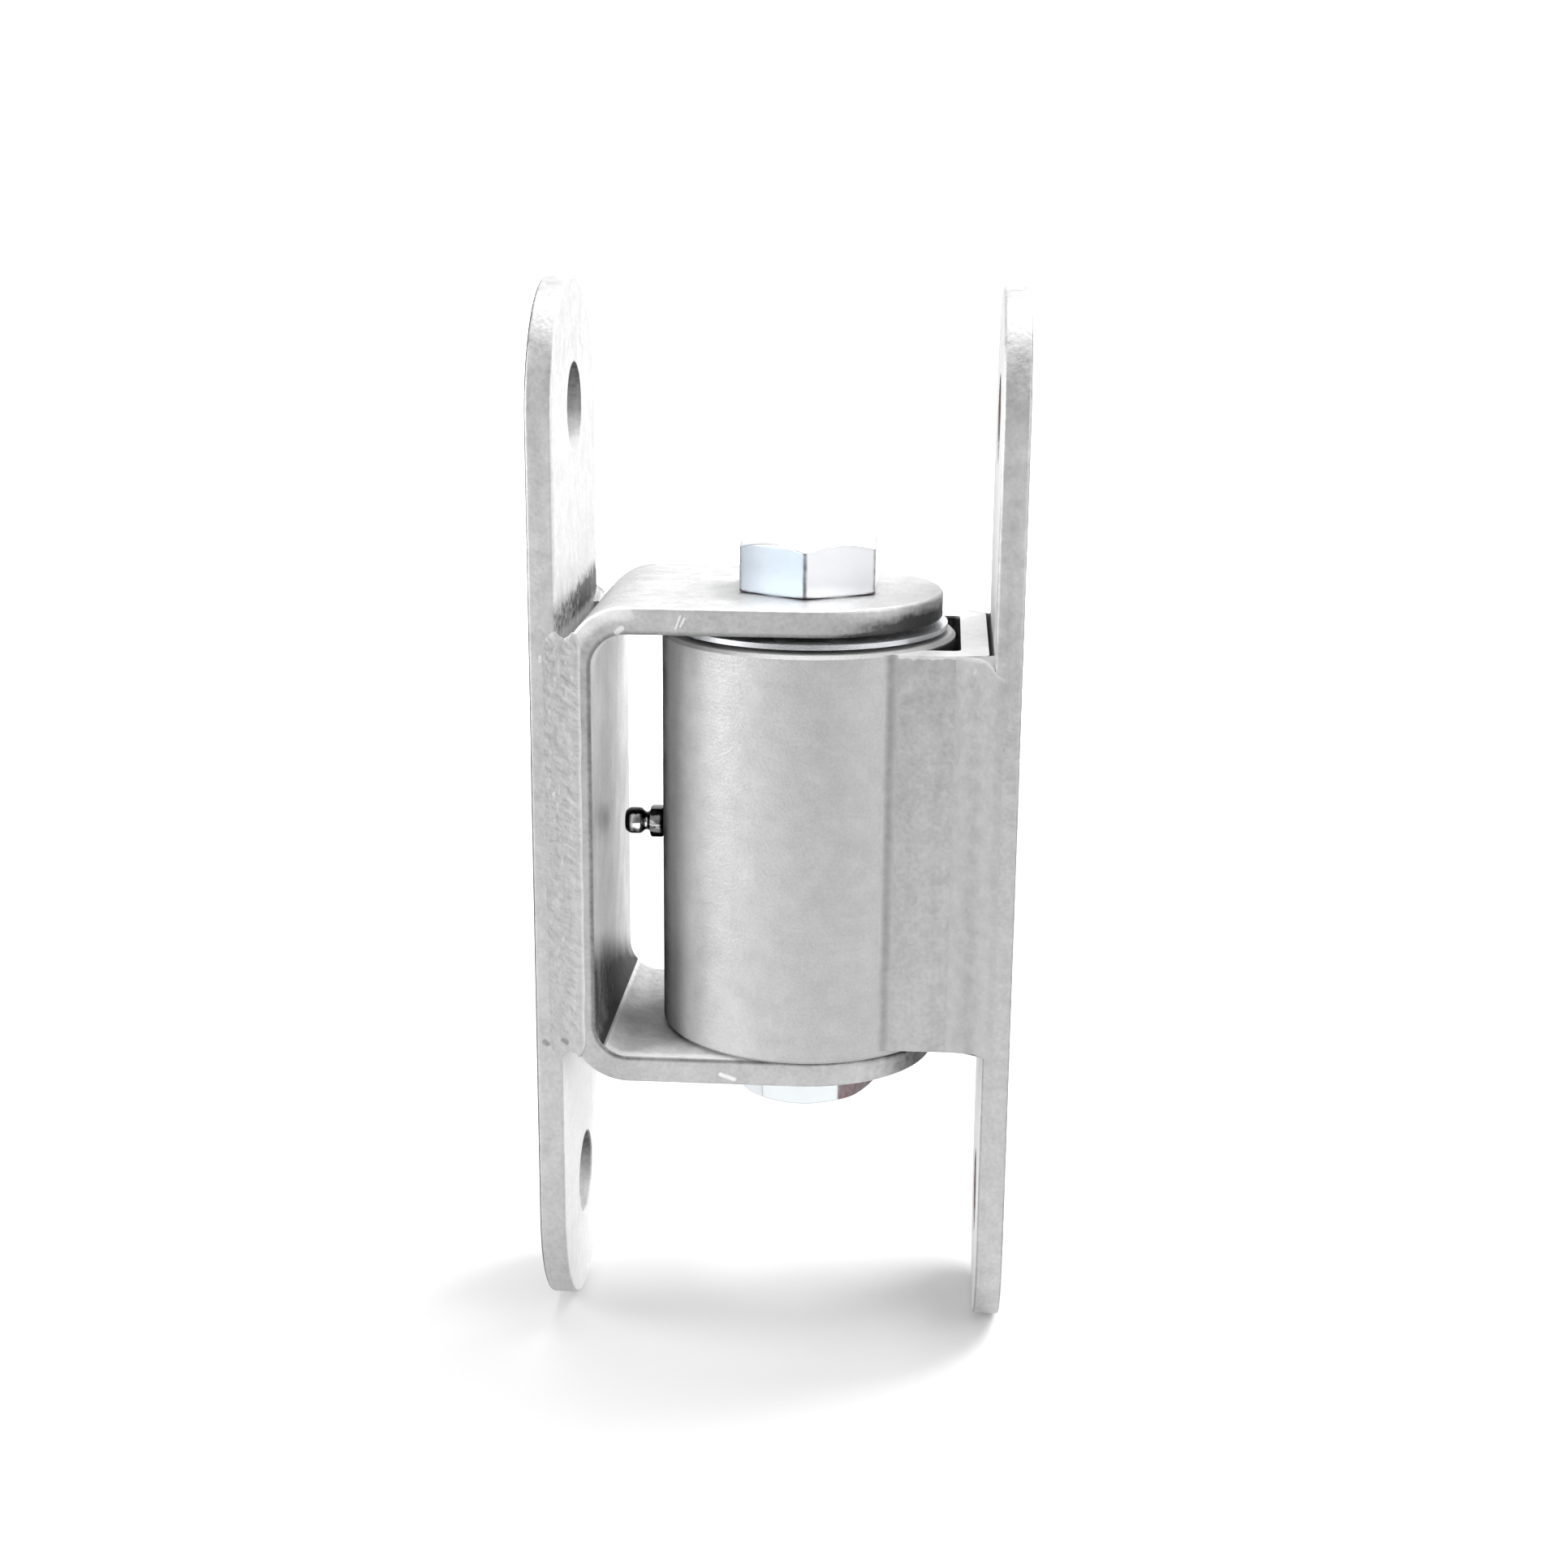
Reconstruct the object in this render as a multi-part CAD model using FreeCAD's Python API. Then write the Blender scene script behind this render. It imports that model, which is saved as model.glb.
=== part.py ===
import FreeCAD, Part
import math
import os

# Bearing gate hinge: a yoke leaf for the post and a barrel leaf for the gate, joined by one pivot bolt.
# Millimetres. The origin is the middle of the post face, +X points to the gate, +Z runs up the pivot.

# Flat bar of both straps and of the yoke
BAR_WIDTH = 63.5
BAR_THICKNESS = 6.35
BAR_EDGE_RADIUS = 0.8
STRAP_LENGTH = 254.0
STRAP_HOLE_SPACING = 193.7
STRAP_HOLE_DIAMETER = 20.6
STRAP_RISE = 2.0  # the middle of a strap stands this far above the middle of what it carries
YOKE_BEND_RADIUS = 7.9  # inside of the bend
YOKE_ROOT_GAP = 1.5  # between strap and yoke, closed by the seam welds

# Barrel, and the gaps round it
BARREL_DIAMETER = 69.85
BARREL_LENGTH = 97.6
BARREL_BEVEL = 0.8
BARREL_LOWER_GAP = 0.6  # barrel foot to lower ear
BARREL_UPPER_GAP = 3.4  # barrel top to upper ear
BARREL_WEB_GAP = 12.875  # barrel to the web of the yoke

# Bracket channel between the barrel and the gate strap
BRACKET_WALL = 6.35
BRACKET_SHOULDER = 6.35  # outer face of each leg inside the side of the barrel
BRACKET_WEB_GAP = 1.2  # barrel to the web of the bracket
BRACKET_ROOT_GAP = 1.175  # between bracket and strap, closed by the seam welds
BRACKET_TOP_DROP = 0.5
BRACKET_FOOT_RISE = 1.85
BRACKET_INNER_CORNER = 1.6
BRACKET_OUTER_CORNER = 3.2

# Pivot bolt and lock nut
BOLT_DIAMETER = 19.05
BOLT_CLEARANCE = 0.05  # radial, to every ring on the bolt
EAR_HOLE_CLEARANCE = 0.4  # radial
HEX_ACROSS_FLATS = 31.75
HEX_CHAMFER_CIRCLE = 31.0
HEX_CHAMFER_ANGLE = 30.0
HEAD_HEIGHT = 12.3
HEAD_WASHER_FACE = 0.4
NUT_HEIGHT = 10.9
BOLT_END_PAST_NUT = 1.8
BOLT_END_BEVEL = 1.2

# Tapered roller bearings, measured from the back of the cone towards the middle of the barrel
BEARING_DIAMETER = 45.24
BEARING_WIDTH = 15.49
BEARING_SHOULDER = 3.57  # height of the step that the cup is pressed against
BEARING_RECESS = 6.0  # back of the cone inside the end of the barrel
CONE_WIDTH = 16.64
CONE_BACK_RIB = 1.5
CONE_FRONT_RIB = 0.8
CUP_WIDTH = 12.07
ROLLER_GAP = 0.95  # least room between rollers, at half their length
ROLLER_DIAMETER = 6.2  # at half its length
ROLLER_LENGTH = 10.0
ROLLER_MIDDLE = 9.3
ROLLER_TILT = 9.5  # degrees from the pivot
ROLLER_CLEARANCE = 0.05
ROLLER_END_PLAY = 0.1
CAGE_THICKNESS = 0.8
CAGE_OFFSET = 1.0  # cage inner face outside the roller axes
CAGE_RIM = 1.2  # cage past each end of the rollers
CAGE_CLEARANCE = 0.2

# Rings on the bolt, and the seals that run on them
SPACER_DIAMETER = 28.6
SLEEVE_DIAMETER = 25.4
DUST_WASHER_DIAMETER = 66.0
DUST_WASHER_THICKNESS = 1.2
DUST_WASHER_LIFT = 1.0  # above the top of the barrel
SEAL_WIDTH = 4.5
SEAL_SETBACK = 0.5
SEAL_CASE_WALL = 1.4
SEAL_LIP_WIDTH = 0.9
SEAL_LIP_REACH = 2.6
SEAL_CLEARANCE = 0.08

# Grease nipple, measured outwards from the side of the barrel
NIPPLE_RISE = 0.0  # above the middle of the barrel
NIPPLE_HEX = 7.1
NIPPLE_HEX_LENGTH = 3.2
NIPPLE_NECK_DIAMETER = 4.4
NIPPLE_NECK_START = 3.9
NIPPLE_NECK_END = 4.6
NIPPLE_HEAD_DIAMETER = 6.5
NIPPLE_HEAD_START = 5.7
NIPPLE_HEAD_END = 8.3
NIPPLE_TIP_DIAMETER = 5.2
NIPPLE_LENGTH = 9.4
NIPPLE_SHANK_DIAMETER = 6.35
NIPPLE_SHANK_LENGTH = 5.6
NIPPLE_BORE = 3.0
NIPPLE_MOUTH = 2.0
NIPPLE_MOUTH_DEPTH = 0.4
NIPPLE_SEAT_LENGTH = 1.1
NIPPLE_END_LIP = 0.7
NIPPLE_END_BORE = 1.6
BALL_DIAMETER = 2.6
BALL_CLEARANCE = 0.05
SPRING_WIRE = 0.3
SPRING_DIAMETER = 2.2  # middle of the wire
SPRING_TURNS = 6
SPRING_CLEARANCE = 0.12

# Weld beads
SEAM_BEAD_WIDTH = 8.8
SEAM_BEAD_CROWN = 1.0
SEAM_BEAD_SHIFT = 0.5  # middle of the bead past the middle of the seam, towards the yoke
SEAM_BEAD_REACH = 8.5  # past the start of each bend, into the mouth of the groove
SEAM_BEAD_DEPTH = 5.0  # into the gap between strap and yoke
BRACKET_BEAD_LEG = 6.2  # reach on the leg, from the strap
BRACKET_BEAD_FOOT = 2.825  # reach on the strap
BRACKET_BEAD_CROWN = 0.5
BRACKET_BEAD_ROOT = 2.0  # into the gap between bracket and strap
BARREL_BEAD_LEG = 1.8

# Places that follow from the sizes above
ear_gap = BARREL_LENGTH + BARREL_LOWER_GAP + BARREL_UPPER_GAP
barrel_radius = BARREL_DIAMETER / 2
yoke_back_x = BAR_THICKNESS + YOKE_ROOT_GAP
yoke_web_x = yoke_back_x + BAR_THICKNESS
pivot_x = yoke_web_x + BARREL_WEB_GAP + barrel_radius
bracket_web_x = pivot_x + barrel_radius + BRACKET_WEB_GAP
bracket_back_x = bracket_web_x + BRACKET_WALL
gate_strap_x = bracket_back_x + BRACKET_ROOT_GAP
bracket_half_width = barrel_radius - BRACKET_SHOULDER
bend_outer_radius = YOKE_BEND_RADIUS + BAR_THICKNESS
web_half_height = ear_gap / 2 - YOKE_BEND_RADIUS  # straight part of the yoke web
yoke_middle_z = -STRAP_RISE
lower_ear_z = yoke_middle_z - ear_gap / 2
upper_ear_z = yoke_middle_z + ear_gap / 2
barrel_foot_z = lower_ear_z + BARREL_LOWER_GAP
barrel_top_z = barrel_foot_z + BARREL_LENGTH
barrel_middle_z = (barrel_foot_z + barrel_top_z) / 2
gate_middle_z = barrel_middle_z + STRAP_RISE
bracket_foot_z = barrel_foot_z + BRACKET_FOOT_RISE
bracket_height = BARREL_LENGTH - BRACKET_FOOT_RISE - BRACKET_TOP_DROP
lower_cone_z = barrel_foot_z + BEARING_RECESS
upper_cone_z = barrel_top_z - BEARING_RECESS
nipple_z = barrel_middle_z + NIPPLE_RISE
dust_washer_z = barrel_top_z + DUST_WASHER_LIFT
ring_bore_radius = BOLT_DIAMETER / 2 + BOLT_CLEARANCE

up = FreeCAD.Vector(0, 0, 1)
pivot = FreeCAD.Vector(pivot_x, 0, 0)


def vec(x, y, z):
    return FreeCAD.Vector(x, y, z)


def face_of(points):
    """A flat face inside a closed run of straight edges."""
    return Part.Face(Part.makePolygon(points + points[:1]))


def turned(profile):
    """A solid turned about the pivot from (radius, height) points."""
    points = [pivot + vec(radius, 0, height) for radius, height in profile]
    return face_of(points).revolve(pivot, up, 360)


def ring(outer_radius, inner_radius, foot, height):
    """A plain ring on the bolt."""
    top = foot + height
    return turned([(inner_radius, foot), (outer_radius, foot), (outer_radius, top), (inner_radius, top)])


def save(name, shape):
    shape.exportStep(os.path.join("parts", name + ".step"))


def strap(face_x, middle_z):
    """Flat bar with full-round ends, softened edges and a bolt hole near each end."""
    half = BAR_WIDTH / 2
    run = STRAP_LENGTH / 2 - half
    low, high = middle_z - run, middle_z + run
    sides = [
        Part.makeLine(vec(face_x, -half, low), vec(face_x, -half, high)),
        Part.Arc(vec(face_x, -half, high), vec(face_x, 0, high + half), vec(face_x, half, high)).toShape(),
        Part.makeLine(vec(face_x, half, high), vec(face_x, half, low)),
        Part.Arc(vec(face_x, half, low), vec(face_x, 0, low - half), vec(face_x, -half, low)).toShape(),
    ]
    bar = Part.Face(Part.Wire(sides)).extrude(vec(BAR_THICKNESS, 0, 0))
    rims = [edge for edge in bar.Edges if edge.BoundBox.XLength < BAR_THICKNESS / 2]
    bar = bar.makeFillet(BAR_EDGE_RADIUS, rims)
    for side in (-1, 1):
        centre = vec(face_x, 0, middle_z + side * STRAP_HOLE_SPACING / 2)
        bar = bar.cut(Part.makeCylinder(STRAP_HOLE_DIAMETER / 2, BAR_THICKNESS, centre, vec(1, 0, 0)))
    return bar


def yoke_outline(offset):
    """One skin of the bent bar, offset outwards from its inner skin, from ear end to ear end."""
    half = BAR_WIDTH / 2
    end_x = pivot_x + half
    web_x = yoke_web_x - offset
    low, high = lower_ear_z - offset, upper_ear_z + offset
    radius = YOKE_BEND_RADIUS + offset
    slack = radius * (1 - math.sqrt(0.5))
    return [
        Part.makeLine(vec(end_x, -half, low), vec(web_x + radius, -half, low)),
        Part.Arc(
            vec(web_x + radius, -half, low),
            vec(web_x + slack, -half, low + slack),
            vec(web_x, -half, low + radius),
        ).toShape(),
        Part.makeLine(vec(web_x, -half, low + radius), vec(web_x, -half, high - radius)),
        Part.Arc(
            vec(web_x, -half, high - radius),
            vec(web_x + slack, -half, high - slack),
            vec(web_x + radius, -half, high),
        ).toShape(),
        Part.makeLine(vec(web_x + radius, -half, high), vec(end_x, -half, high)),
    ]


def yoke():
    """U bent from flat bar: a web on the strap and two ears rounded about the pivot."""
    half = BAR_WIDTH / 2
    inner, outer = yoke_outline(0), yoke_outline(BAR_THICKNESS)
    lower_end = Part.makeLine(inner[0].Vertexes[0].Point, outer[0].Vertexes[0].Point)
    upper_end = Part.makeLine(inner[-1].Vertexes[-1].Point, outer[-1].Vertexes[-1].Point)
    edges = Part.sortEdges(inner + [upper_end] + outer + [lower_end])[0]
    bent = Part.Face(Part.Wire(edges)).extrude(vec(0, BAR_WIDTH, 0))
    tall = ear_gap + 4 * BAR_THICKNESS
    foot_z = lower_ear_z - 2 * BAR_THICKNESS
    plan = Part.makeBox(pivot_x, BAR_WIDTH, tall, vec(0, -half, foot_z))
    plan = plan.fuse(Part.makeCylinder(half, tall, vec(pivot_x, 0, foot_z))).removeSplitter()
    bent = bent.common(plan)
    rims = []
    for edge in bent.Edges:
        box = edge.BoundBox
        across_bar = box.YLength > BAR_WIDTH / 2 and box.XLength < BAR_EDGE_RADIUS
        up_the_end = box.XLength < BAR_EDGE_RADIUS and abs(box.ZLength - BAR_THICKNESS) < BAR_EDGE_RADIUS
        if not across_bar and not up_the_end:
            rims.append(edge)
    bent = bent.makeFillet(BAR_EDGE_RADIUS, rims)
    hole_radius = BOLT_DIAMETER / 2 + EAR_HOLE_CLEARANCE
    return bent.cut(Part.makeCylinder(hole_radius, tall, vec(pivot_x, 0, foot_z)))


def groove_point(face_y, end, rise):
    """A point on the outside of a yoke bend, rise past the end of the straight web."""
    gap = bend_outer_radius - math.sqrt(bend_outer_radius ** 2 - rise ** 2)
    return vec(yoke_back_x + gap, face_y, yoke_middle_z + end * (web_half_height + rise))


def yoke_seam_bead(side):
    """Low bead over the seam of strap and yoke, filling the mouth of the gap and of both bend grooves."""
    half, crown = SEAM_BEAD_WIDTH / 2, SEAM_BEAD_CROWN
    middle_x = BAR_THICKNESS + YOKE_ROOT_GAP / 2 + SEAM_BEAD_SHIFT
    face_y = side * BAR_WIDTH / 2
    reach = web_half_height + SEAM_BEAD_REACH
    foot = yoke_middle_z - reach
    left, right = vec(middle_x - half, face_y, foot), vec(middle_x + half, face_y, foot)
    crest = vec(middle_x, face_y + side * crown, foot)
    section = Part.Face(Part.Wire([Part.Arc(left, crest, right).toShape(), Part.makeLine(right, left)]))
    bead = section.extrude(vec(0, 0, 2 * reach))
    start = vec(middle_x, face_y - crown, yoke_middle_z - reach + half)
    across = vec(0, 1, 0)
    long_box = Part.makeBox(2 * half, 2 * crown, 2 * (reach - half), start - vec(half, 0, 0))
    round_ends = [Part.makeCylinder(half, 2 * crown, start + vec(0, 0, lift), across)
                  for lift in (0, 2 * (reach - half))]
    bead = bead.common(long_box.multiFuse(round_ends))
    low_end, low_turn, low_web = [groove_point(face_y, -1, SEAM_BEAD_REACH * part) for part in (1, 0.5, 0)]
    high_end, high_turn, high_web = [groove_point(face_y, 1, SEAM_BEAD_REACH * part) for part in (1, 0.5, 0)]
    low_strap, high_strap = vec(BAR_THICKNESS, face_y, low_end.z), vec(BAR_THICKNESS, face_y, high_end.z)
    fill = Part.Face(Part.Wire([
        Part.makeLine(low_strap, low_end),
        Part.Arc(low_end, low_turn, low_web).toShape(),
        Part.makeLine(low_web, high_web),
        Part.Arc(high_web, high_turn, high_end).toShape(),
        Part.makeLine(high_end, high_strap),
        Part.makeLine(high_strap, low_strap),
    ])).extrude(vec(0, -side * SEAM_BEAD_DEPTH, 0))
    return bead.fuse(fill).removeSplitter()


def bracket():
    """Channel with its web towards the gate strap and its legs cut to the round of the barrel."""
    half, wall = bracket_half_width, BRACKET_WALL
    corner = vec(pivot_x, -half, bracket_foot_z)
    block = Part.makeBox(bracket_back_x - pivot_x, 2 * half, bracket_height, corner)
    outer = [edge for edge in block.Edges
             if edge.BoundBox.ZLength > wall and abs(edge.BoundBox.XMax - bracket_back_x) < wall / 2]
    block = block.makeFillet(BRACKET_OUTER_CORNER, outer)
    inside = half - wall
    hollow = Part.makeBox(bracket_web_x - pivot_x, 2 * inside, bracket_height,
                          vec(pivot_x, -inside, bracket_foot_z))
    inner = [edge for edge in hollow.Edges
             if edge.BoundBox.ZLength > wall and abs(edge.BoundBox.XMax - bracket_web_x) < wall / 2]
    hollow = hollow.makeFillet(BRACKET_INNER_CORNER, inner)
    round_cut = Part.makeCylinder(barrel_radius, bracket_height, vec(pivot_x, 0, bracket_foot_z))
    return block.cut(hollow).cut(round_cut)


def bracket_seam_bead(side):
    """Fillet bead in the corner of bracket leg and gate strap, run into the gap between them."""
    leg_y = side * bracket_half_width
    edge_y = leg_y + side * BRACKET_BEAD_FOOT
    corner = BRACKET_OUTER_CORNER
    slack = corner * (1 - math.sqrt(0.5))
    foot = bracket_foot_z
    toe = vec(gate_strap_x - BRACKET_BEAD_LEG, leg_y, foot)
    edge = vec(gate_strap_x, edge_y, foot)
    bulge = (toe + edge) * 0.5 + vec(-BRACKET_BEAD_CROWN, side * BRACKET_BEAD_CROWN, 0)
    corner_start = vec(bracket_back_x - corner, leg_y, foot)
    corner_middle = vec(bracket_back_x - slack, leg_y - side * slack, foot)
    corner_end = vec(bracket_back_x, leg_y - side * corner, foot)
    root_depth = vec(0, -side * BRACKET_BEAD_ROOT, 0)
    strap_root = vec(gate_strap_x, corner_end.y, foot) + root_depth
    section = Part.Face(Part.Wire([
        Part.Arc(toe, bulge, edge).toShape(),
        Part.makeLine(edge, strap_root),
        Part.makeLine(strap_root, corner_end + root_depth),
        Part.makeLine(corner_end + root_depth, corner_end),
        Part.Arc(corner_end, corner_middle, corner_start).toShape(),
        Part.makeLine(corner_start, toe),
    ]))
    return section.extrude(vec(0, 0, bracket_height))


def barrel_seam_bead(side):
    """Narrow bead in the shallow valley where a bracket leg meets the barrel."""
    angle = math.asin(bracket_half_width / barrel_radius)
    turn = BARREL_BEAD_LEG / barrel_radius

    def on_barrel(at):
        return pivot + vec(barrel_radius * math.cos(at), side * barrel_radius * math.sin(at), bracket_foot_z)

    valley = on_barrel(angle)
    toe = valley + vec(BARREL_BEAD_LEG, 0, 0)
    section = Part.Face(Part.Wire([
        Part.makeLine(valley, toe),
        Part.makeLine(toe, on_barrel(angle + turn)),
        Part.Arc(on_barrel(angle + turn), on_barrel(angle + turn / 2), valley).toShape(),
    ]))
    return section.extrude(vec(0, 0, bracket_height))


def barrel():
    """Thick tube with bevelled ends, a bearing seat in each end and a tapped hole for the nipple."""
    outer, bevel = barrel_radius, BARREL_BEVEL
    seat = BEARING_DIAMETER / 2
    bore = seat - BEARING_SHOULDER
    foot, top = barrel_foot_z, barrel_top_z
    depth = BEARING_RECESS + BEARING_WIDTH
    tube = turned([
        (seat + bevel, foot),
        (outer - bevel, foot),
        (outer, foot + bevel),
        (outer, top - bevel),
        (outer - bevel, top),
        (seat + bevel, top),
        (seat, top - bevel),
        (seat, top - depth),
        (bore, top - depth),
        (bore, foot + depth),
        (seat, foot + depth),
        (seat, foot + bevel),
    ])
    hole_start = pivot + vec(0, 0, nipple_z)
    return tube.cut(Part.makeCylinder(NIPPLE_SHANK_DIAMETER / 2, outer, hole_start, vec(-1, 0, 0)))


def hex_block(foot, height, corner_angle, ends):
    """Hexagon about the pivot, its corners chamfered at the named ends."""
    corner_radius = HEX_ACROSS_FLATS / 2 / math.cos(math.radians(30))
    points = []
    for step in range(6):
        at = math.radians(corner_angle + 60 * step)
        points.append(vec(pivot_x + corner_radius * math.cos(at), corner_radius * math.sin(at), foot))
    block = face_of(points).extrude(vec(0, 0, height))
    rim, drop = HEX_CHAMFER_CIRCLE / 2, height / 2
    spread = rim + drop / math.tan(math.radians(HEX_CHAMFER_ANGLE))
    low = rim if "foot" in ends else spread
    high = rim if "top" in ends else spread
    top = foot + height
    envelope = turned([(0, foot), (low, foot), (spread, foot + drop), (high, top), (0, top)])
    return block.common(envelope)


def pivot_bolt():
    """Hex bolt with a corner of its head to the front, a washer face and a bevelled end."""
    seat = upper_ear_z + BAR_THICKNESS
    head = hex_block(seat + HEAD_WASHER_FACE, HEAD_HEIGHT - HEAD_WASHER_FACE, 90, ("top",))
    end = lower_ear_z - BAR_THICKNESS - NUT_HEIGHT - BOLT_END_PAST_NUT
    radius = BOLT_DIAMETER / 2
    shank = turned([
        (0, end),
        (radius - BOLT_END_BEVEL, end),
        (radius, end + BOLT_END_BEVEL),
        (radius, seat),
        (HEX_CHAMFER_CIRCLE / 2, seat),
        (HEX_CHAMFER_CIRCLE / 2, seat + HEAD_WASHER_FACE),
        (0, seat + HEAD_WASHER_FACE),
    ])
    return head.fuse(shank).removeSplitter()


def lock_nut():
    """Thin nut with a flat to the front, chamfered on both sides."""
    foot = lower_ear_z - BAR_THICKNESS - NUT_HEIGHT
    nut = hex_block(foot, NUT_HEIGHT, 0, ("foot", "top"))
    return nut.cut(Part.makeCylinder(ring_bore_radius, NUT_HEIGHT, pivot + vec(0, 0, foot)))


# Roller geometry: every roller and raceway is a cone whose tip is the same point on the pivot
tilt = math.radians(ROLLER_TILT)
pitch_radius = (BOLT_DIAMETER + BEARING_DIAMETER) / 4
pitch_run = pitch_radius / math.sin(tilt)
roller_count = int(2 * math.pi * pitch_radius / (ROLLER_DIAMETER + ROLLER_GAP))
tip_depth = ROLLER_MIDDLE + pitch_run * math.cos(tilt)
race_slope = (ROLLER_DIAMETER / 2 + ROLLER_CLEARANCE) / pitch_run


def bearing_point(run, lift):
    """(radius, depth) of a point that lies run from the tip along a roller axis and lift outside it."""
    radius = run * math.sin(tilt) + lift * math.cos(tilt)
    depth = tip_depth - run * math.cos(tilt) + lift * math.sin(tilt)
    return radius, depth


def bearing_ring(profile, back_z, inward):
    """A bearing ring from (radius, depth) points, depth running from the cone back into the barrel."""
    return turned([(radius, back_z + inward * depth) for radius, depth in profile])


def bearing_cone(back_z, inward):
    """Inner race with a tall back rib and a low front rib."""
    back_run = pitch_run + ROLLER_LENGTH / 2 + ROLLER_END_PLAY
    front_run = pitch_run - ROLLER_LENGTH / 2 - ROLLER_END_PLAY
    back_rib = bearing_point(back_run, CONE_BACK_RIB - back_run * race_slope)
    front_rib = bearing_point(front_run, CONE_FRONT_RIB - front_run * race_slope)
    return bearing_ring([
        (ring_bore_radius, 0),
        (back_rib[0], 0),
        back_rib,
        bearing_point(back_run, -back_run * race_slope),
        bearing_point(front_run, -front_run * race_slope),
        front_rib,
        (front_rib[0], CONE_WIDTH),
        (ring_bore_radius, CONE_WIDTH),
    ], back_z, inward)


def bearing_cup(back_z, inward):
    """Outer race, pressed against the shoulder of its seat."""
    outer = BEARING_DIAMETER / 2
    front = BEARING_WIDTH - CUP_WIDTH
    slope = math.tan(tilt + math.atan(race_slope))
    return bearing_ring([
        (outer, front),
        (outer, BEARING_WIDTH),
        ((tip_depth - BEARING_WIDTH) * slope, BEARING_WIDTH),
        ((tip_depth - front) * slope, front),
    ], back_z, inward)


def tapered_roller(step, back_z, inward, swell, longer):
    """One roller of the set, or with swell and longer the room that it needs."""
    at = 2 * math.pi * step / roller_count
    run = pitch_run + ROLLER_LENGTH / 2 + longer
    length = ROLLER_LENGTH + 2 * longer
    slope = ROLLER_DIAMETER / 2 / pitch_run
    radius, depth = bearing_point(run, 0)
    start = pivot + vec(radius * math.cos(at), radius * math.sin(at), back_z + inward * depth)
    along = vec(-math.sin(tilt) * math.cos(at), -math.sin(tilt) * math.sin(at), inward * math.cos(tilt))
    return Part.makeCone(run * slope + swell, (run - length) * slope + swell, length, start, along)


def roller_set(back_z, inward):
    """All the rollers of one bearing, as separate solids."""
    return Part.makeCompound([tapered_roller(step, back_z, inward, 0, 0) for step in range(roller_count)])


def roller_cage(back_z, inward):
    """Thin conical cage with a window for each roller."""
    back_run = pitch_run + ROLLER_LENGTH / 2 + CAGE_RIM
    front_run = pitch_run - ROLLER_LENGTH / 2 - CAGE_RIM
    skin = CAGE_OFFSET + CAGE_THICKNESS
    cage = bearing_ring([
        bearing_point(back_run, CAGE_OFFSET),
        bearing_point(back_run, skin),
        bearing_point(front_run, skin),
        bearing_point(front_run, CAGE_OFFSET),
    ], back_z, inward)
    rooms = [tapered_roller(step, back_z, inward, CAGE_CLEARANCE, CAGE_CLEARANCE)
             for step in range(roller_count)]
    return cage.cut(Part.makeCompound(rooms))


def grease_seal(end_z, inward):
    """Cased lip seal in the end of the barrel, running on the spacer ring."""
    seat = BEARING_DIAMETER / 2
    lip = SPACER_DIAMETER / 2 + SEAL_CLEARANCE
    face, back = SEAL_SETBACK, SEAL_SETBACK + SEAL_WIDTH
    root = lip + SEAL_LIP_REACH
    return bearing_ring([
        (seat, face),
        (seat, back),
        (seat - SEAL_CASE_WALL, back),
        (seat - SEAL_CASE_WALL, face + SEAL_CASE_WALL),
        (root, face + SEAL_CASE_WALL),
        (lip + SEAL_LIP_WIDTH, back - SEAL_LIP_WIDTH),
        (lip, back - SEAL_LIP_WIDTH),
        (lip, back - 2 * SEAL_LIP_WIDTH),
        (root - SEAL_LIP_WIDTH, face),
    ], end_z, inward)


# The nipple points away from the gate, at the side of the barrel
nipple_root = pivot + vec(-barrel_radius, 0, nipple_z)
outward = vec(-1, 0, 0)
ball_seat_start = NIPPLE_LENGTH - NIPPLE_MOUTH_DEPTH - NIPPLE_SEAT_LENGTH
seat_slope = (NIPPLE_BORE - NIPPLE_MOUTH) / 2 / NIPPLE_SEAT_LENGTH
seat_tip = ball_seat_start + NIPPLE_BORE / 2 / seat_slope
ball_place = seat_tip - (BALL_DIAMETER / 2 + BALL_CLEARANCE) / math.sin(math.atan(seat_slope))


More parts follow.
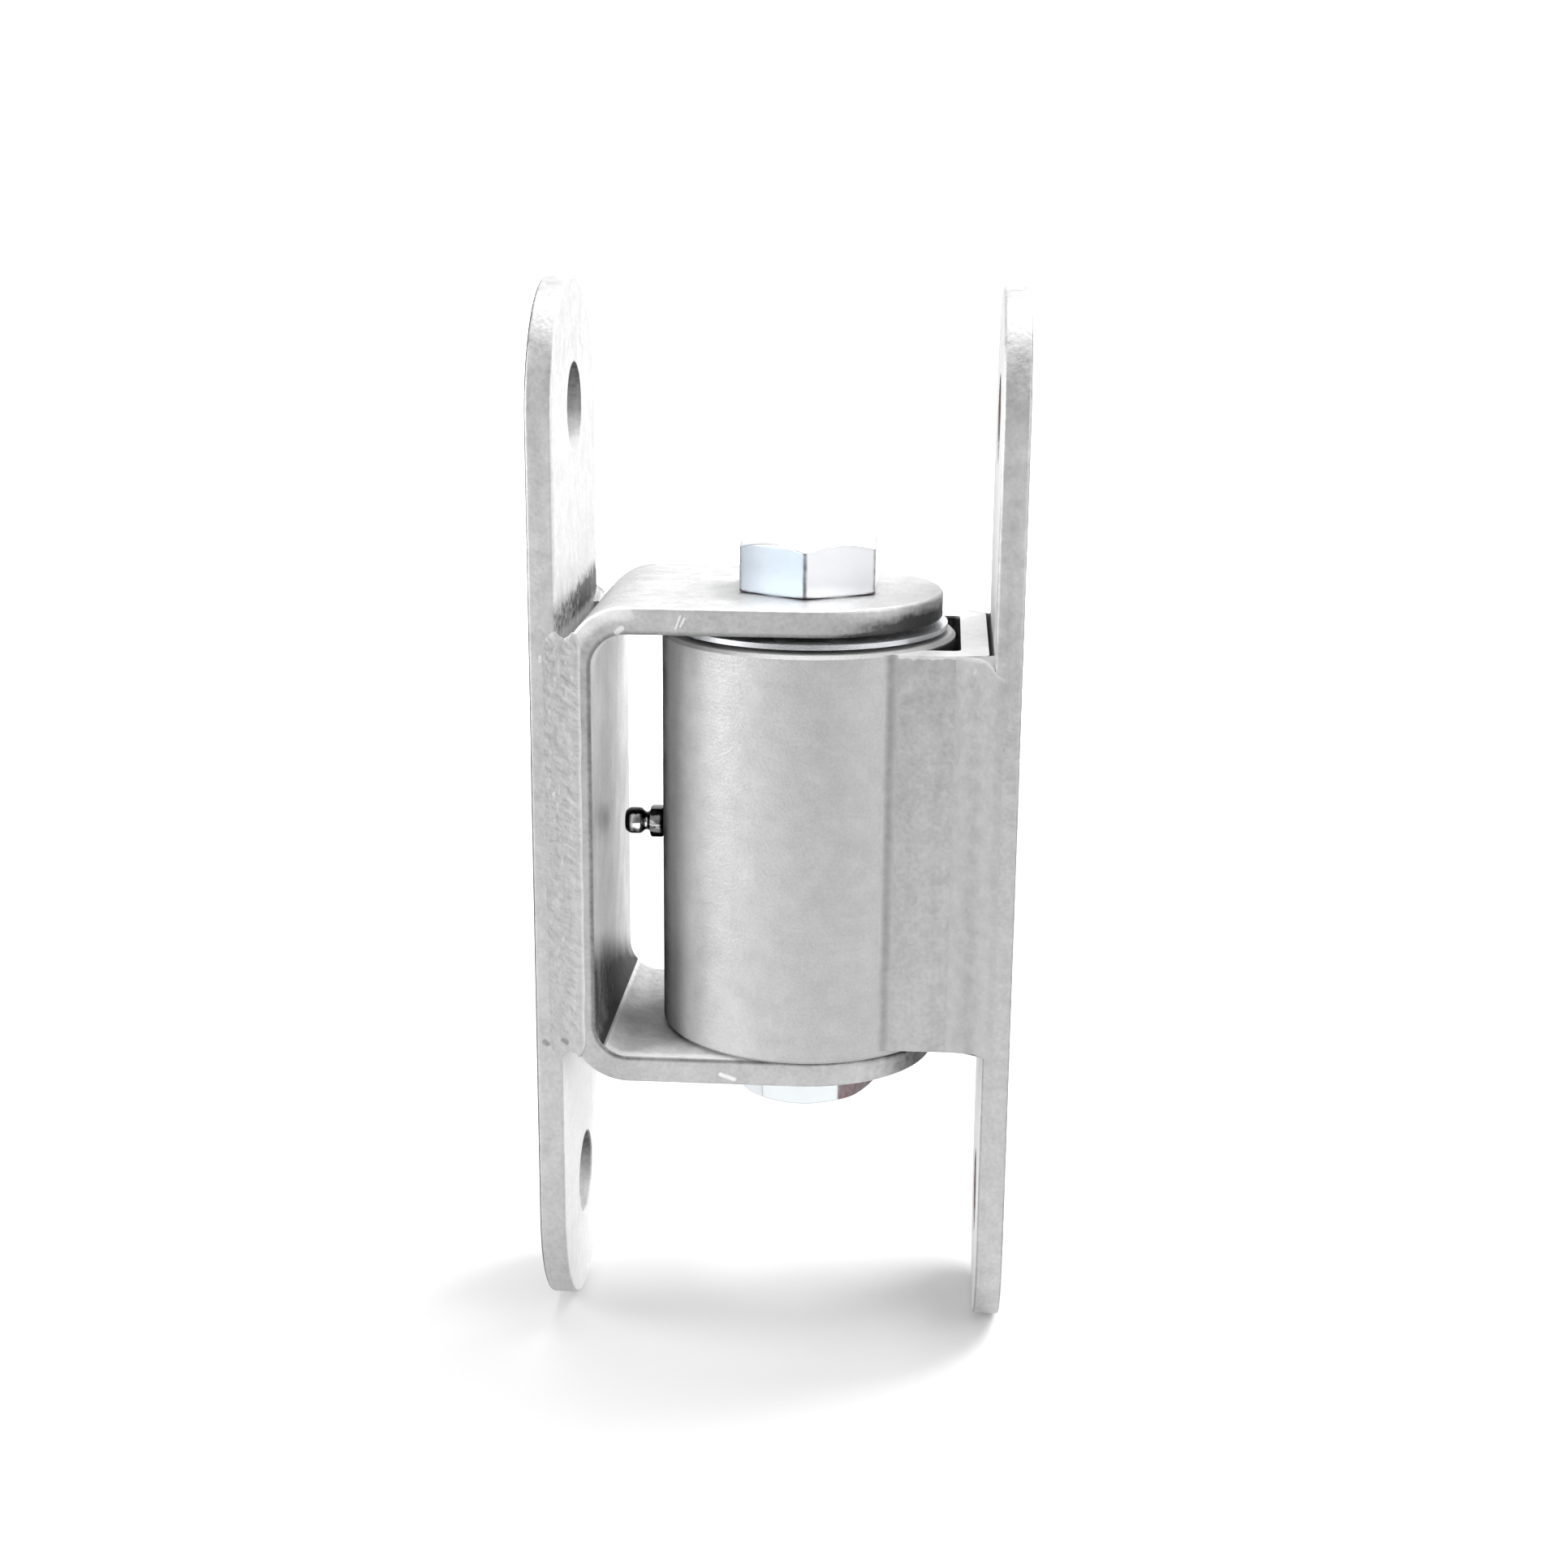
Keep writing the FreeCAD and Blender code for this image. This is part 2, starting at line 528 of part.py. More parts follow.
def grease_nipple():
    """Turned nipple with a hex collar, a grooved neck, a coupler head and a stepped bore."""
    shank_end = -NIPPLE_SHANK_LENGTH
    profile = [
        (NIPPLE_END_BORE / 2, shank_end),
        (NIPPLE_SHANK_DIAMETER / 2, shank_end),
        (NIPPLE_SHANK_DIAMETER / 2, NIPPLE_HEX_LENGTH),
        (NIPPLE_NECK_DIAMETER / 2, NIPPLE_NECK_START),
        (NIPPLE_NECK_DIAMETER / 2, NIPPLE_NECK_END),
        (NIPPLE_HEAD_DIAMETER / 2, NIPPLE_HEAD_START),
        (NIPPLE_HEAD_DIAMETER / 2, NIPPLE_HEAD_END),
        (NIPPLE_TIP_DIAMETER / 2, NIPPLE_LENGTH),
        (NIPPLE_MOUTH / 2, NIPPLE_LENGTH),
        (NIPPLE_MOUTH / 2, NIPPLE_LENGTH - NIPPLE_MOUTH_DEPTH),
        (NIPPLE_BORE / 2, ball_seat_start),
        (NIPPLE_BORE / 2, shank_end + NIPPLE_END_LIP),
        (NIPPLE_END_BORE / 2, shank_end + NIPPLE_END_LIP),
    ]
    points = [nipple_root + outward * along + up * radius for radius, along in profile]
    body = face_of(points).revolve(nipple_root, outward, 360)
    corner = NIPPLE_HEX / 2 / math.cos(math.radians(30))
    corners = []
    for step in range(6):
        at = math.radians(60 * step)
        corners.append(nipple_root + vec(0, corner * math.cos(at), corner * math.sin(at)))
    collar = face_of(corners).extrude(outward * NIPPLE_HEX_LENGTH)
    bore = Part.makeCylinder(NIPPLE_SHANK_DIAMETER / 2, NIPPLE_HEX_LENGTH, nipple_root, outward)
    return body.fuse(collar.cut(bore)).removeSplitter()


def nipple_ball():
    return Part.makeSphere(BALL_DIAMETER / 2, nipple_root + outward * ball_place)


def nipple_spring():
    """Coil spring between the end lip of the nipple and its ball."""
    half_wire = SPRING_WIRE / 2
    start = NIPPLE_END_LIP - NIPPLE_SHANK_LENGTH + half_wire + SPRING_CLEARANCE
    ball_back = ball_place - math.sqrt((BALL_DIAMETER / 2) ** 2 - (SPRING_DIAMETER / 2) ** 2)
    length = ball_back - half_wire - SPRING_CLEARANCE - start
    path = Part.makeHelix(length / SPRING_TURNS, length, SPRING_DIAMETER / 2)
    section = Part.Wire(Part.makeCircle(half_wire, vec(SPRING_DIAMETER / 2, 0, 0), vec(0, 1, 0)))
    coil = Part.Wire(path.Edges).makePipeShell([section], True, True)
    coil.rotate(vec(0, 0, 0), vec(0, 1, 0), -90)
    coil.translate(nipple_root + outward * start)
    return coil


os.makedirs("parts", exist_ok=True)

save("yoke_strap", strap(0, 0))
save("yoke", yoke())
save("gate_strap", strap(gate_strap_x, gate_middle_z))
save("bracket_channel", bracket())
save("barrel", barrel())
for side, place in ((-1, "front"), (1, "back")):
    save("yoke_seam_weld_" + place, yoke_seam_bead(side))
    save("bracket_seam_weld_" + place, bracket_seam_bead(side))
    save("barrel_seam_weld_" + place, barrel_seam_bead(side))

save("pivot_bolt", pivot_bolt())
save("lock_nut", lock_nut())
spacer_radius = SPACER_DIAMETER / 2
save("lower_spacer_ring", ring(spacer_radius, ring_bore_radius, lower_ear_z, lower_cone_z - lower_ear_z))
save("upper_spacer_ring", ring(spacer_radius, ring_bore_radius, upper_cone_z, dust_washer_z - upper_cone_z))
save("dust_washer", ring(DUST_WASHER_DIAMETER / 2, ring_bore_radius, dust_washer_z, DUST_WASHER_THICKNESS))
shim_z = dust_washer_z + DUST_WASHER_THICKNESS
save("shim_washer", ring(spacer_radius, ring_bore_radius, shim_z, upper_ear_z - shim_z))
sleeve_z = lower_cone_z + CONE_WIDTH
sleeve_length = upper_cone_z - CONE_WIDTH - sleeve_z
save("bearing_sleeve", ring(SLEEVE_DIAMETER / 2, ring_bore_radius, sleeve_z, sleeve_length))

for place, back_z, end_z, inward in (
    ("lower", lower_cone_z, barrel_foot_z, 1),
    ("upper", upper_cone_z, barrel_top_z, -1),
):
    save(place + "_bearing_cone", bearing_cone(back_z, inward))
    save(place + "_bearing_cup", bearing_cup(back_z, inward))
    save(place + "_rollers", roller_set(back_z, inward))
    save(place + "_roller_cage", roller_cage(back_z, inward))
    save(place + "_grease_seal", grease_seal(end_z, inward))

save("grease_nipple", grease_nipple())
save("nipple_ball", nipple_ball())
save("nipple_spring", nipple_spring())
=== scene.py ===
import bpy
import math
import numpy as np
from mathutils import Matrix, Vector


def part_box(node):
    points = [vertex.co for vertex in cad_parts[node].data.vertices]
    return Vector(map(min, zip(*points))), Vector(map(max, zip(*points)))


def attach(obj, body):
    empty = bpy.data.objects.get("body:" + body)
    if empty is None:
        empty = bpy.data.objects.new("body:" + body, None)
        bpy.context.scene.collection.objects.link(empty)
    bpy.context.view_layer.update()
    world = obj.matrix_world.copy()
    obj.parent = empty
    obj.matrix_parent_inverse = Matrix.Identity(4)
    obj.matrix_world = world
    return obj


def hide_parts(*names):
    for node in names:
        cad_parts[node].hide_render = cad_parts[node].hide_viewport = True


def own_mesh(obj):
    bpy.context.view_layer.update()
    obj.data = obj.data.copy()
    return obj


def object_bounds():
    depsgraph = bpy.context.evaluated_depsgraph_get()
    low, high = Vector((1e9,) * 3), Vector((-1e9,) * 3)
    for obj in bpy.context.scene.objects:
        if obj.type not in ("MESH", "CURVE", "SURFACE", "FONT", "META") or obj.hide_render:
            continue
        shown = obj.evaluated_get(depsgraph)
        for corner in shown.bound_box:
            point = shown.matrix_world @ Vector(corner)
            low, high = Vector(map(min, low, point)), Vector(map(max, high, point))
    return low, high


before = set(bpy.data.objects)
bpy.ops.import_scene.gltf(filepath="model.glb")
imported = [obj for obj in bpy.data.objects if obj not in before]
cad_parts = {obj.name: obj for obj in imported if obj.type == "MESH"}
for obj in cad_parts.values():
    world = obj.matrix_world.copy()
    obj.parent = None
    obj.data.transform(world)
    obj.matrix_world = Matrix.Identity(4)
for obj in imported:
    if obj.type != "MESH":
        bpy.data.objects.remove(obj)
cad_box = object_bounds()


# Yoke strap: flat bar with full-round ends, bolted to the post through its two holes.
# Hot-rolled steel, pickled to a pale matt grey; the rolls left long streaks, its edges get painted light and shade,
# and soot with painted shade lies on it over the upper end of the weld.
class Field:
    """A shader value that adds and multiplies like a number: each step becomes one math node."""

    def __init__(self, tree, socket):
        self.tree = tree
        self.socket = socket

    def step(self, operation, other=0.0, swapped=False):
        """One math node on this value and another one, which comes first if swapped."""
        node = self.tree.nodes.new("ShaderNodeMath")
        node.operation = operation
        for slot, value in zip(node.inputs, (other, self) if swapped else (self, other)):
            if isinstance(value, Field):
                self.tree.links.new(value.socket, slot)
            else:
                slot.default_value = value
        return Field(self.tree, node.outputs[0])

    def __add__(self, other):
        return self.step("ADD", other)

    def __sub__(self, other):
        return self.step("SUBTRACT", other)

    def __rsub__(self, other):
        return self.step("SUBTRACT", other, True)

    def __mul__(self, other):
        return self.step("MULTIPLY", other)

    def __abs__(self):
        return self.step("ABSOLUTE")

    __radd__ = __add__
    __rmul__ = __mul__

    def over(self, least):
        """This value, kept from going under the least."""
        return self.step("MAXIMUM", least)

    def under(self, most):
        """This value, kept from going over the most."""
        return self.step("MINIMUM", most)

    def far(self, other):
        """Distance from zero of the point (self, other)."""
        return (self * self + other * other).step("SQRT")

    def rise(self, start, end):
        """0 at start and 1 at end, smooth between and level beyond; with an end below start
        it falls as the value grows."""
        node = self.tree.nodes.new("ShaderNodeMapRange")
        node.interpolation_type = "SMOOTHSTEP"
        self.tree.links.new(self.socket, node.inputs["Value"])
        node.inputs["From Min"].default_value = start
        node.inputs["From Max"].default_value = end
        return Field(self.tree, node.outputs[0])


class Finish:
    """A procedural finish: a material, its node tree and its Object coordinates x, y, z in metres."""

    def __init__(self, name, metallic):
        self.material = bpy.data.materials.new(name)
        self.material.use_nodes = True
        self.tree = self.material.node_tree
        self.shader = self.tree.nodes["Principled BSDF"]
        self.shader.inputs["Metallic"].default_value = metallic
        self.place = self.tree.nodes.new("ShaderNodeTexCoord").outputs["Object"]
        axes = self.tree.nodes.new("ShaderNodeSeparateXYZ")
        self.tree.links.new(self.place, axes.inputs[0])
        self.x, self.y, self.z = (Field(self.tree, socket) for socket in axes.outputs)

    def cloud(self, scale, detail=3.0, stretch=(1.0, 1.0, 1.0)):
        """Noise in -0.5 to 0.5 with scale cells a metre, drawn out where stretch is small."""
        drawn = self.tree.nodes.new("ShaderNodeMapping")
        self.tree.links.new(self.place, drawn.inputs["Vector"])
        drawn.inputs["Scale"].default_value = stretch
        noise = self.tree.nodes.new("ShaderNodeTexNoise")
        self.tree.links.new(drawn.outputs[0], noise.inputs["Vector"])
        noise.inputs["Scale"].default_value = scale
        noise.inputs["Detail"].default_value = detail
        return Field(self.tree, noise.outputs["Fac"]) - 0.5

    def paint(self, tone, dark, pale):
        """Base colour goes from dark at tone 0 to pale at tone 1; returns the node that mixes them."""
        mix = self.tree.nodes.new("ShaderNodeMix")
        mix.data_type = "RGBA"
        self.tree.links.new(tone.socket, mix.inputs["Factor"])
        mix.inputs["A"].default_value = (*dark, 1.0)
        mix.inputs["B"].default_value = (*pale, 1.0)
        self.tree.links.new(mix.outputs["Result"], self.shader.inputs["Base Color"])
        return mix

    def stain(self, share, colour):
        """Lays a colour over the painted one where share nears 1."""
        below = self.shader.inputs["Base Color"].links[0].from_socket
        above = self.paint(share, (0.0, 0.0, 0.0), colour)
        self.tree.links.new(below, above.inputs["A"])

    def polish(self, roughness):
        """Sets how rough the surface is at each point."""
        self.tree.links.new(roughness.socket, self.shader.inputs["Roughness"])

    def relief(self, height, distance):
        """Fine bumps: a height of 1 stands for distance metres."""
        bump = self.tree.nodes.new("ShaderNodeBump")
        self.tree.links.new(height.socket, bump.inputs["Height"])
        bump.inputs["Distance"].default_value = distance
        self.tree.links.new(bump.outputs["Normal"], self.shader.inputs["Normal"])

    def mark(self, name):
        """A value that the piece's own mesh carries at each point."""
        attribute = self.tree.nodes.new("ShaderNodeAttribute")
        attribute.attribute_name = name
        return Field(self.tree, attribute.outputs["Fac"])

    def scratch(self, start, end, width):
        """1 on a short stroke between two points (x, z) and 0 away from it."""
        run_x, run_z = end[0] - start[0], end[1] - start[1]
        length = run_x ** 2 + run_z ** 2 + 1e-12
        off_x, off_z = self.x - start[0], self.z - start[1]
        share = (off_x * (run_x / length) + off_z * (run_z / length)).over(0.0).under(1.0)
        return (off_x - share * run_x).far(off_z - share * run_z).rise(width, width * 0.4)

    def dress(self, *nodes):
        """Gives CAD nodes this finish."""
        for node in nodes:
            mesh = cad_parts[node].data
            mesh.materials.clear()
            mesh.materials.append(self.material)


def pickled(finish, streak, dull=0.0):
    """Rolled and pickled skin: returns the tone, 0.5 with blotches, streaks and grain, and sets
    gloss and relief; dull takes off some of the gloss."""
    blotch, grain = finish.cloud(260.0, 4.0), finish.cloud(1000.0)
    streaks = finish.cloud(330.0, 6.0, streak)
    finish.polish(0.50 + dull + 0.2 * (blotch + streaks))
    finish.relief(grain + 1.5 * blotch, 0.00009)
    return 0.5 + 0.24 * blotch + 0.16 * streaks + 0.24 * grain


def bar_marks(finish, past_run, half_width):
    """Masks of a round-ended bar's flat faces and of its rounded edges, both found from
    hypot(y, how far past its straight run), which nears half the bar's width at the edge."""
    reach = finish.y.far(past_run.over(0.0))
    face = reach.rise(half_width - 0.0002, half_width - 0.0008)
    rim = reach.rise(half_width - 0.0010, half_width - 0.0005) - reach.rise(half_width - 0.0002, half_width)
    return face, rim


def strap_bores(finish, middle):
    """Masks of the walls of a strap's two bolt holes and of their upper halves, which take painted shade."""
    past_hole = abs(finish.z - middle) - hole_reach
    walls = finish.y.far(past_hole).rise(hole_radius + 0.0004, hole_radius + 0.0001)
    above_hole = past_hole * (finish.z - middle).step("SIGN")
    return walls, walls * above_hole.rise(-0.008, 0.004)


bar_dark, bar_pale = (0.05, 0.05, 0.05), (0.85, 0.85, 0.85)
upright_streak = (1.0, 1.0, 0.05)
hole_reach, hole_radius = 0.09685, 0.0103
strap_low, strap_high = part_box("yoke_strap")
bar_half, strap_face = strap_high.y, strap_high.x
strap_run = (strap_high.z - strap_low.z) / 2 - bar_half
strap_middle = (strap_high.z + strap_low.z) / 2
bead_low, bead_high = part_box("yoke_seam_weld_front")
bead_middle_z = (bead_low.z + bead_high.z) / 2
bead_reach = (bead_high.z - bead_low.z) / 2
# Painted light and shade go between these heights above and below the middle, and over the last stretch of the top end;
# the finish of a face alone has faded out at skin depth
light_band_from, light_band_to, top_end, skin = 0.045, 0.065, 0.02, 0.0006
strap_steel = Finish("yoke_strap_steel", 0.5)
face, rim = bar_marks(strap_steel, abs(strap_steel.z - strap_middle) - strap_run, bar_half)
bores, upper_wall_shade = strap_bores(strap_steel, strap_middle)
# Painted shade on the upper halves of the bolt holes' walls
strap_tone = 0.06 + pickled(strap_steel, upright_streak) + 0.05 * bores - 0.50 * upper_wall_shade
# The rounded edges a shade paler, with painted shade on those beside the mounting face
strap_tone += rim * (0.02 - 0.25 * strap_steel.x.rise(0.0014, 0.0005))
# Painted highlight on the upper edges, painted shade on the rounded top end and painted light on the lower part of the
# inner face
strap_tone += 0.08 * (1.0 - face) * strap_steel.z.rise(light_band_from, light_band_to)
strap_tone -= (strap_steel.z - strap_middle - strap_run).rise(0.0, top_end) * (0.24 - 0.18 * face)
inner_face = strap_steel.x.rise(strap_face - skin, strap_face - 0.0002)
strap_tone += 0.26 * face * inner_face * strap_steel.z.rise(-light_band_from, -light_band_to)
# The mounting face keeps its grey mill scale
strap_tone -= strap_steel.x.rise(skin, 0.0001) * (0.42 + 0.2 * strap_steel.cloud(90.0, 5.0))
# Soot and painted shade lie in a ragged band over the weld, where strap and bend meet, darker towards the back
past_weld = strap_steel.z - bead_middle_z - bead_reach
soot_and_shade = (past_weld + 0.006 * strap_steel.cloud(300.0, 4.0)).rise(0.0075, 0.0020)
soot_and_shade *= past_weld.rise(-0.004, 0.0) * inner_face
strap_tone -= soot_and_shade * (0.40 + 0.35 * strap_steel.y.rise(-0.02, 0.02) + 1.2 * strap_steel.cloud(700.0))
# A dark pit low on the front edge and a bright nick high on it
strap_tone -= 0.25 * strap_steel.scratch((0.0021, -0.0497), (0.0028, -0.0502), 0.0009)
strap_tone += 0.2 * strap_steel.scratch((0.0027, 0.0423), (0.0027, 0.0434), 0.0005)
strap_steel.paint(strap_tone, bar_dark, bar_pale)
strap_steel.dress("yoke_strap")


# Yoke: the same flat bar bent into a U, with two round-ended ears drilled for the pivot bolt.
# The upper bend's outside gets a painted highlight, the lower inner bend painted shade up to a sharp line,
# both round ends painted shade, and a few nicks show on the front edges.
barrel_low, barrel_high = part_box("barrel")
pivot_x = (barrel_low.x + barrel_high.x) / 2
yoke_low, yoke_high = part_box("yoke")
bend_outer, web_half = 0.01425, 0.0429
bent_streak = (0.3, 1.0, 0.3)
yoke_steel = Finish("yoke_steel", 0.6)
past_pivot = yoke_steel.x - pivot_x
from_bend = yoke_steel.x - (yoke_low.x + bend_outer)
above_bend = yoke_steel.z - (bead_middle_z + web_half)
over_bend = yoke_steel.z - (bead_middle_z - web_half)
# Distance from the U drawn through both bends' centres: 7.9 mm on the whole inner skin, 14.25 mm on the outer
depth = from_bend.under(0.0).far(over_bend.under(0.0) + above_bend.over(0.0))
inner_skin = depth.rise(0.0100, 0.0090)
lower_half = over_bend.rise(0.036, 0.028)
face, rim = bar_marks(yoke_steel, past_pivot, bar_half)
# The sharp line lies 48 degrees up the lower bend: painted shade on the web side of it, a duller face on the ear side
shade_edge = math.radians(222)
past_edge = over_bend * math.cos(shade_edge) - from_bend * math.sin(shade_edge)
painted_bend_shade = past_edge.rise(0.0, -0.0004) * (over_bend + 0.33 * yoke_steel.y).rise(0.014, 0.002)
painted_bend_shade *= inner_skin * face
lower_ear_inside = past_edge.rise(0.0, 0.0008) * inner_skin * face * lower_half
yoke_tone = pickled(yoke_steel, bent_streak, 0.35 * (lower_ear_inside + painted_bend_shade))
# Painted light on the ears past the bend; the broad faces a little darker than the edges
yoke_tone += 0.06 * from_bend.rise(-0.004, 0.006) - 0.04 * face
# Painted highlight along the outer rounded edges, and painted shade on the top of the upper ear
yoke_tone += (0.10 * rim - 0.04 * face * above_bend.rise(0.010, 0.013)) * (1.0 - inner_skin)
# Painted shade, mottled, on the web side of the sharp line
yoke_tone -= painted_bend_shade * (0.60 + 0.4 * yoke_steel.cloud(260.0))
# On the ear side: painted light, most towards the front and fading to a little painted shade at the back, with painted
# highlights along the sharp line and along the front edge
deep = 0.36 * yoke_steel.y.rise(-0.025, 0.025) - 0.30
yoke_tone -= lower_ear_inside * (deep + 0.3 * yoke_steel.cloud(300.0))
yoke_tone += 0.13 * lower_ear_inside * past_edge.rise(0.0012, 0.0006)
yoke_tone += 0.18 * lower_ear_inside * yoke_steel.y.rise(0.0036 - bar_half, 0.0022 - bar_half)
# The inside of the web gets painted light, most at the front and the top, with faint streaks, and a painted shadow line
# follows the inner edge
web_light_and_streaks = 0.02 + 0.24 * yoke_steel.y.rise(0.010, -0.025) + 0.22 * yoke_steel.z.rise(0.005, 0.030)
web_light_and_streaks += 0.45 * yoke_steel.cloud(160.0, 5.0, (1.0, 1.0, 0.5))
yoke_tone += inner_skin * face * from_bend.rise(-0.006, -0.0075) * web_light_and_streaks
yoke_tone -= 0.30 * depth.rise(0.0092, 0.0083) * (1.0 - face)
# Painted highlight on the front and back faces along the outside of the upper bend
upper_bend = from_bend.rise(0.006, -0.002) * above_bend.rise(0.0, 0.004)
yoke_tone += 0.45 * (1.0 - face) * upper_bend * depth.rise(0.0100, 0.0126)
# Painted shade darkens the under half of the upper ear's round end
upper_end_shade = past_pivot.rise(0.0, 0.029) * (1.0 - face) * above_bend.rise(0.0, 0.004)
upper_end_shade *= (yoke_steel.z + 0.003 * yoke_steel.cloud(200.0, 3.0, (1.0, 1.0, 3.0))).rise(0.0550, 0.0500)
yoke_tone -= 0.8 * upper_end_shade
# Painted shade, mottled, darkens the lower ear's round end, most along its upper edge and towards its tip
lower_end_shade = past_pivot.rise(0.010, 0.026) * (1.0 - face) * over_bend.rise(-0.004, -0.006)
lower_end_darkness = 0.55 * over_bend.rise(-0.0102, -0.0086) + 0.35 * past_pivot.rise(0.020, 0.030)
yoke_tone -= lower_end_shade * (lower_end_darkness + 0.6 * yoke_steel.cloud(400.0))
# Bright nicks on the edges, each from a point (x, z) to another, and its width
on_edge = abs(yoke_steel.y).rise(bar_half - 0.0010, bar_half - 0.0004)
nicks = [((0.0204, 0.0494), (0.0214, 0.0503), 0.0009), ((0.0337, 0.0505), (0.0348, 0.0535), 0.0003),
         ((0.0348, 0.0510), (0.0357, 0.0529), 0.0003), ((0.0440, -0.0565), (0.0473, -0.0576), 0.0007)]
for start, end, width in nicks:
    yoke_tone += 0.4 * on_edge * yoke_steel.scratch(start, end, width)
yoke_steel.paint(yoke_tone, bar_dark, bar_pale)
yoke_steel.dress("yoke")


# Yoke seam welds: one long bead down the front and one down the back of the seam of strap and yoke.
# Bare weld metal laid upwards, so the faint ripples arch up; each end is drawn into the groove at the bend.
def closed_skin(name, loops, capped):
    """Mesh over rows of closed loops, loops[row, step]: a quad joins two steps of two neighbouring rows.
    Capped, the first and last rows get one face each; otherwise the last row joins the first."""
    rows, steps = loops.shape[:2]
    index = np.arange(rows * steps).reshape(rows, steps)
    if not capped:
        index = np.vstack([index, index[:1]])
    turn = np.roll(index, -1, axis=1)
    faces = np.stack([index[:-1], turn[:-1], turn[1:], index[1:]], axis=-1).reshape(-1, 4).tolist()
    if capped:
        faces += [index[0, ::-1].tolist(), index[-1].tolist()]
    mesh = bpy.data.meshes.new(name)
    mesh.from_pydata(loops.reshape(-1, 3).tolist(), [], faces)
    mesh.polygons.foreach_set("use_smooth", np.ones(len(faces), dtype=bool))
    mesh.set_sharp_from_angle(angle=math.radians(45))
    piece = bpy.data.objects.new(name, mesh)
    bpy.context.scene.collection.objects.link(piece)
    return piece


def join_rows(*groups):
    """Loops from groups of points that follow one another round each loop; a group is its x, y and z
    arrays, spread to the same rows and steps."""
    return np.concatenate([np.stack(np.broadcast_arrays(*group), axis=-1) for group in groups], axis=1)


def ripples(height, across, pitch):
    """Weld ripples in -1 to 1: a sine of the height in pitches and one of half its length, which lag
    towards the toes, and drift and swell by slow sines so that no two are alike."""
    drift = 0.30 * np.sin(height / 0.0047) + 0.25 * np.sin(height / 0.0113 + 1.0)
    drift = drift + 0.10 * np.sin(across * 5 + height / 0.0021)
    phase = height / pitch + 0.9 * np.abs(across) ** 1.3 + drift
    swell = 0.6 + 0.4 * np.sin(height / 0.0062 + 2.0 * across + 0.7)
    return swell * (0.75 * np.sin(2 * np.pi * phase) + 0.25 * np.sin(4 * np.pi * phase + 0.9))


def wander(height):
    """Unsteady hand: an uneven wave in -1 to 1 along the seam, the sum of three sines of unlike length."""
    slow, quick = 0.2 * np.sin(height / 0.0083 + 4.0), 0.3 * np.sin(height / 0.0019 + 2.0)
    return 0.5 * np.sin(height / 0.0031) + quick + slow


def weld_finish(name, level, lumps):
    """Weld metal about a level tone, with lumps so many metres high, paler or darker by the painted light
    and shade that the bead's own attribute carries, and with one dark pit low on the yoke's seam."""
    finish = Finish(name, 0.5)
    blotch, speck = finish.cloud(380.0, 2.0), finish.cloud(1500.0)
    finish.polish(0.50 + 0.25 * speck)
    finish.relief(0.3 * speck + 2.0 * blotch, lumps)
    tone = level + 0.18 * blotch + 0.12 * speck + 0.20 * finish.mark("pale")
    tone -= 0.25 * finish.scratch((0.0066, -0.0491), (0.0074, -0.0496), 0.0008)
    finish.paint(tone, bar_dark, bar_pale)
    return finish.material


def put_mark(piece, name, values):
    """Stores a value at each point of a piece, for its finish to read."""
    values = np.ascontiguousarray(values, dtype=np.float32)
    piece.data.attributes.new(name, "FLOAT", "POINT").data.foreach_set("value", values.reshape(-1))


def lay_bead(name, loops, pale, node, body, material):
    """Makes a bead that stands for its CAD node; pale is the painted light and shade at each of its points."""
    bead = closed_skin(name, loops, True)
    put_mark(bead, "pale", pale)
    bead.data.materials.append(material)
    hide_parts(node)
    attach(bead, body)


def lay_both(name, loops, pale, node, body, material):
    """Lays the front bead and its mirror image at the back."""
    pale = np.broadcast_to(pale, loops.shape[:2])
    lay_bead(name + "_front", loops, pale, node + "_front", body, material)
    mirrored = (loops * np.array([1.0, -1.0, 1.0]))[:, ::-1]
    lay_bead(name + "_back", mirrored, pale[:, ::-1], node + "_back", body, material)


# A bead stands a hair proud of the steel beside it
hair, bead_depth, ripple_pitch = 0.00002, 0.005, 0.0031
bead_middle_x, bead_half = (bead_low.x + bead_high.x) / 2, (bead_high.x - bead_low.x) / 2
along = np.linspace(-1.0, 1.0, 460)[:, None]
across = np.linspace(-1.0, 1.0, 39)[None, :]
# The end of the bead dips between strap and bend, and both toes are rounded off: drop at each x
end_drop = np.interp(bead_middle_x + bead_half * across,
                     [0.0032, 0.0034, 0.0040, 0.0050, 0.0063, 0.0072, 0.0083, 0.0094, 0.0103, 0.0110, 0.0117, 0.0120],
                     [0.0044, 0.0031, 0.0017, 0.0006, 0.0000, 0.0010, 0.0016, 0.0011, 0.0000, 0.0009, 0.0026, 0.0044])
bead_z = bead_middle_z + along * (bead_reach - end_drop)
bead_x = bead_middle_x + bead_half * across * (0.97 + 0.03 * wander(bead_z))
to_end = (1.0 - np.abs(along)) * bead_reach
end_fade = np.clip(to_end / 0.003, 0.0, 1.0) ** 0.5
# Ground towards flush on the strap side, it stands highest three quarters of the way to the yoke
climb = np.clip((across + 1.0) / 1.5, 0.0, 1.0)
dome = climb ** 1.5 * (1 - np.clip((across - 0.5) / 0.5, 0.0, 1.0) ** 2) ** 0.8
bead_rise = 0.00030 * dome * (0.4 + 0.6 * end_fade)
bead_rise = bead_rise + 0.00010 * ripples(bead_z, across, ripple_pitch) * (1 - across ** 2) * end_fade
bead_y = -bar_half - hair - bead_rise
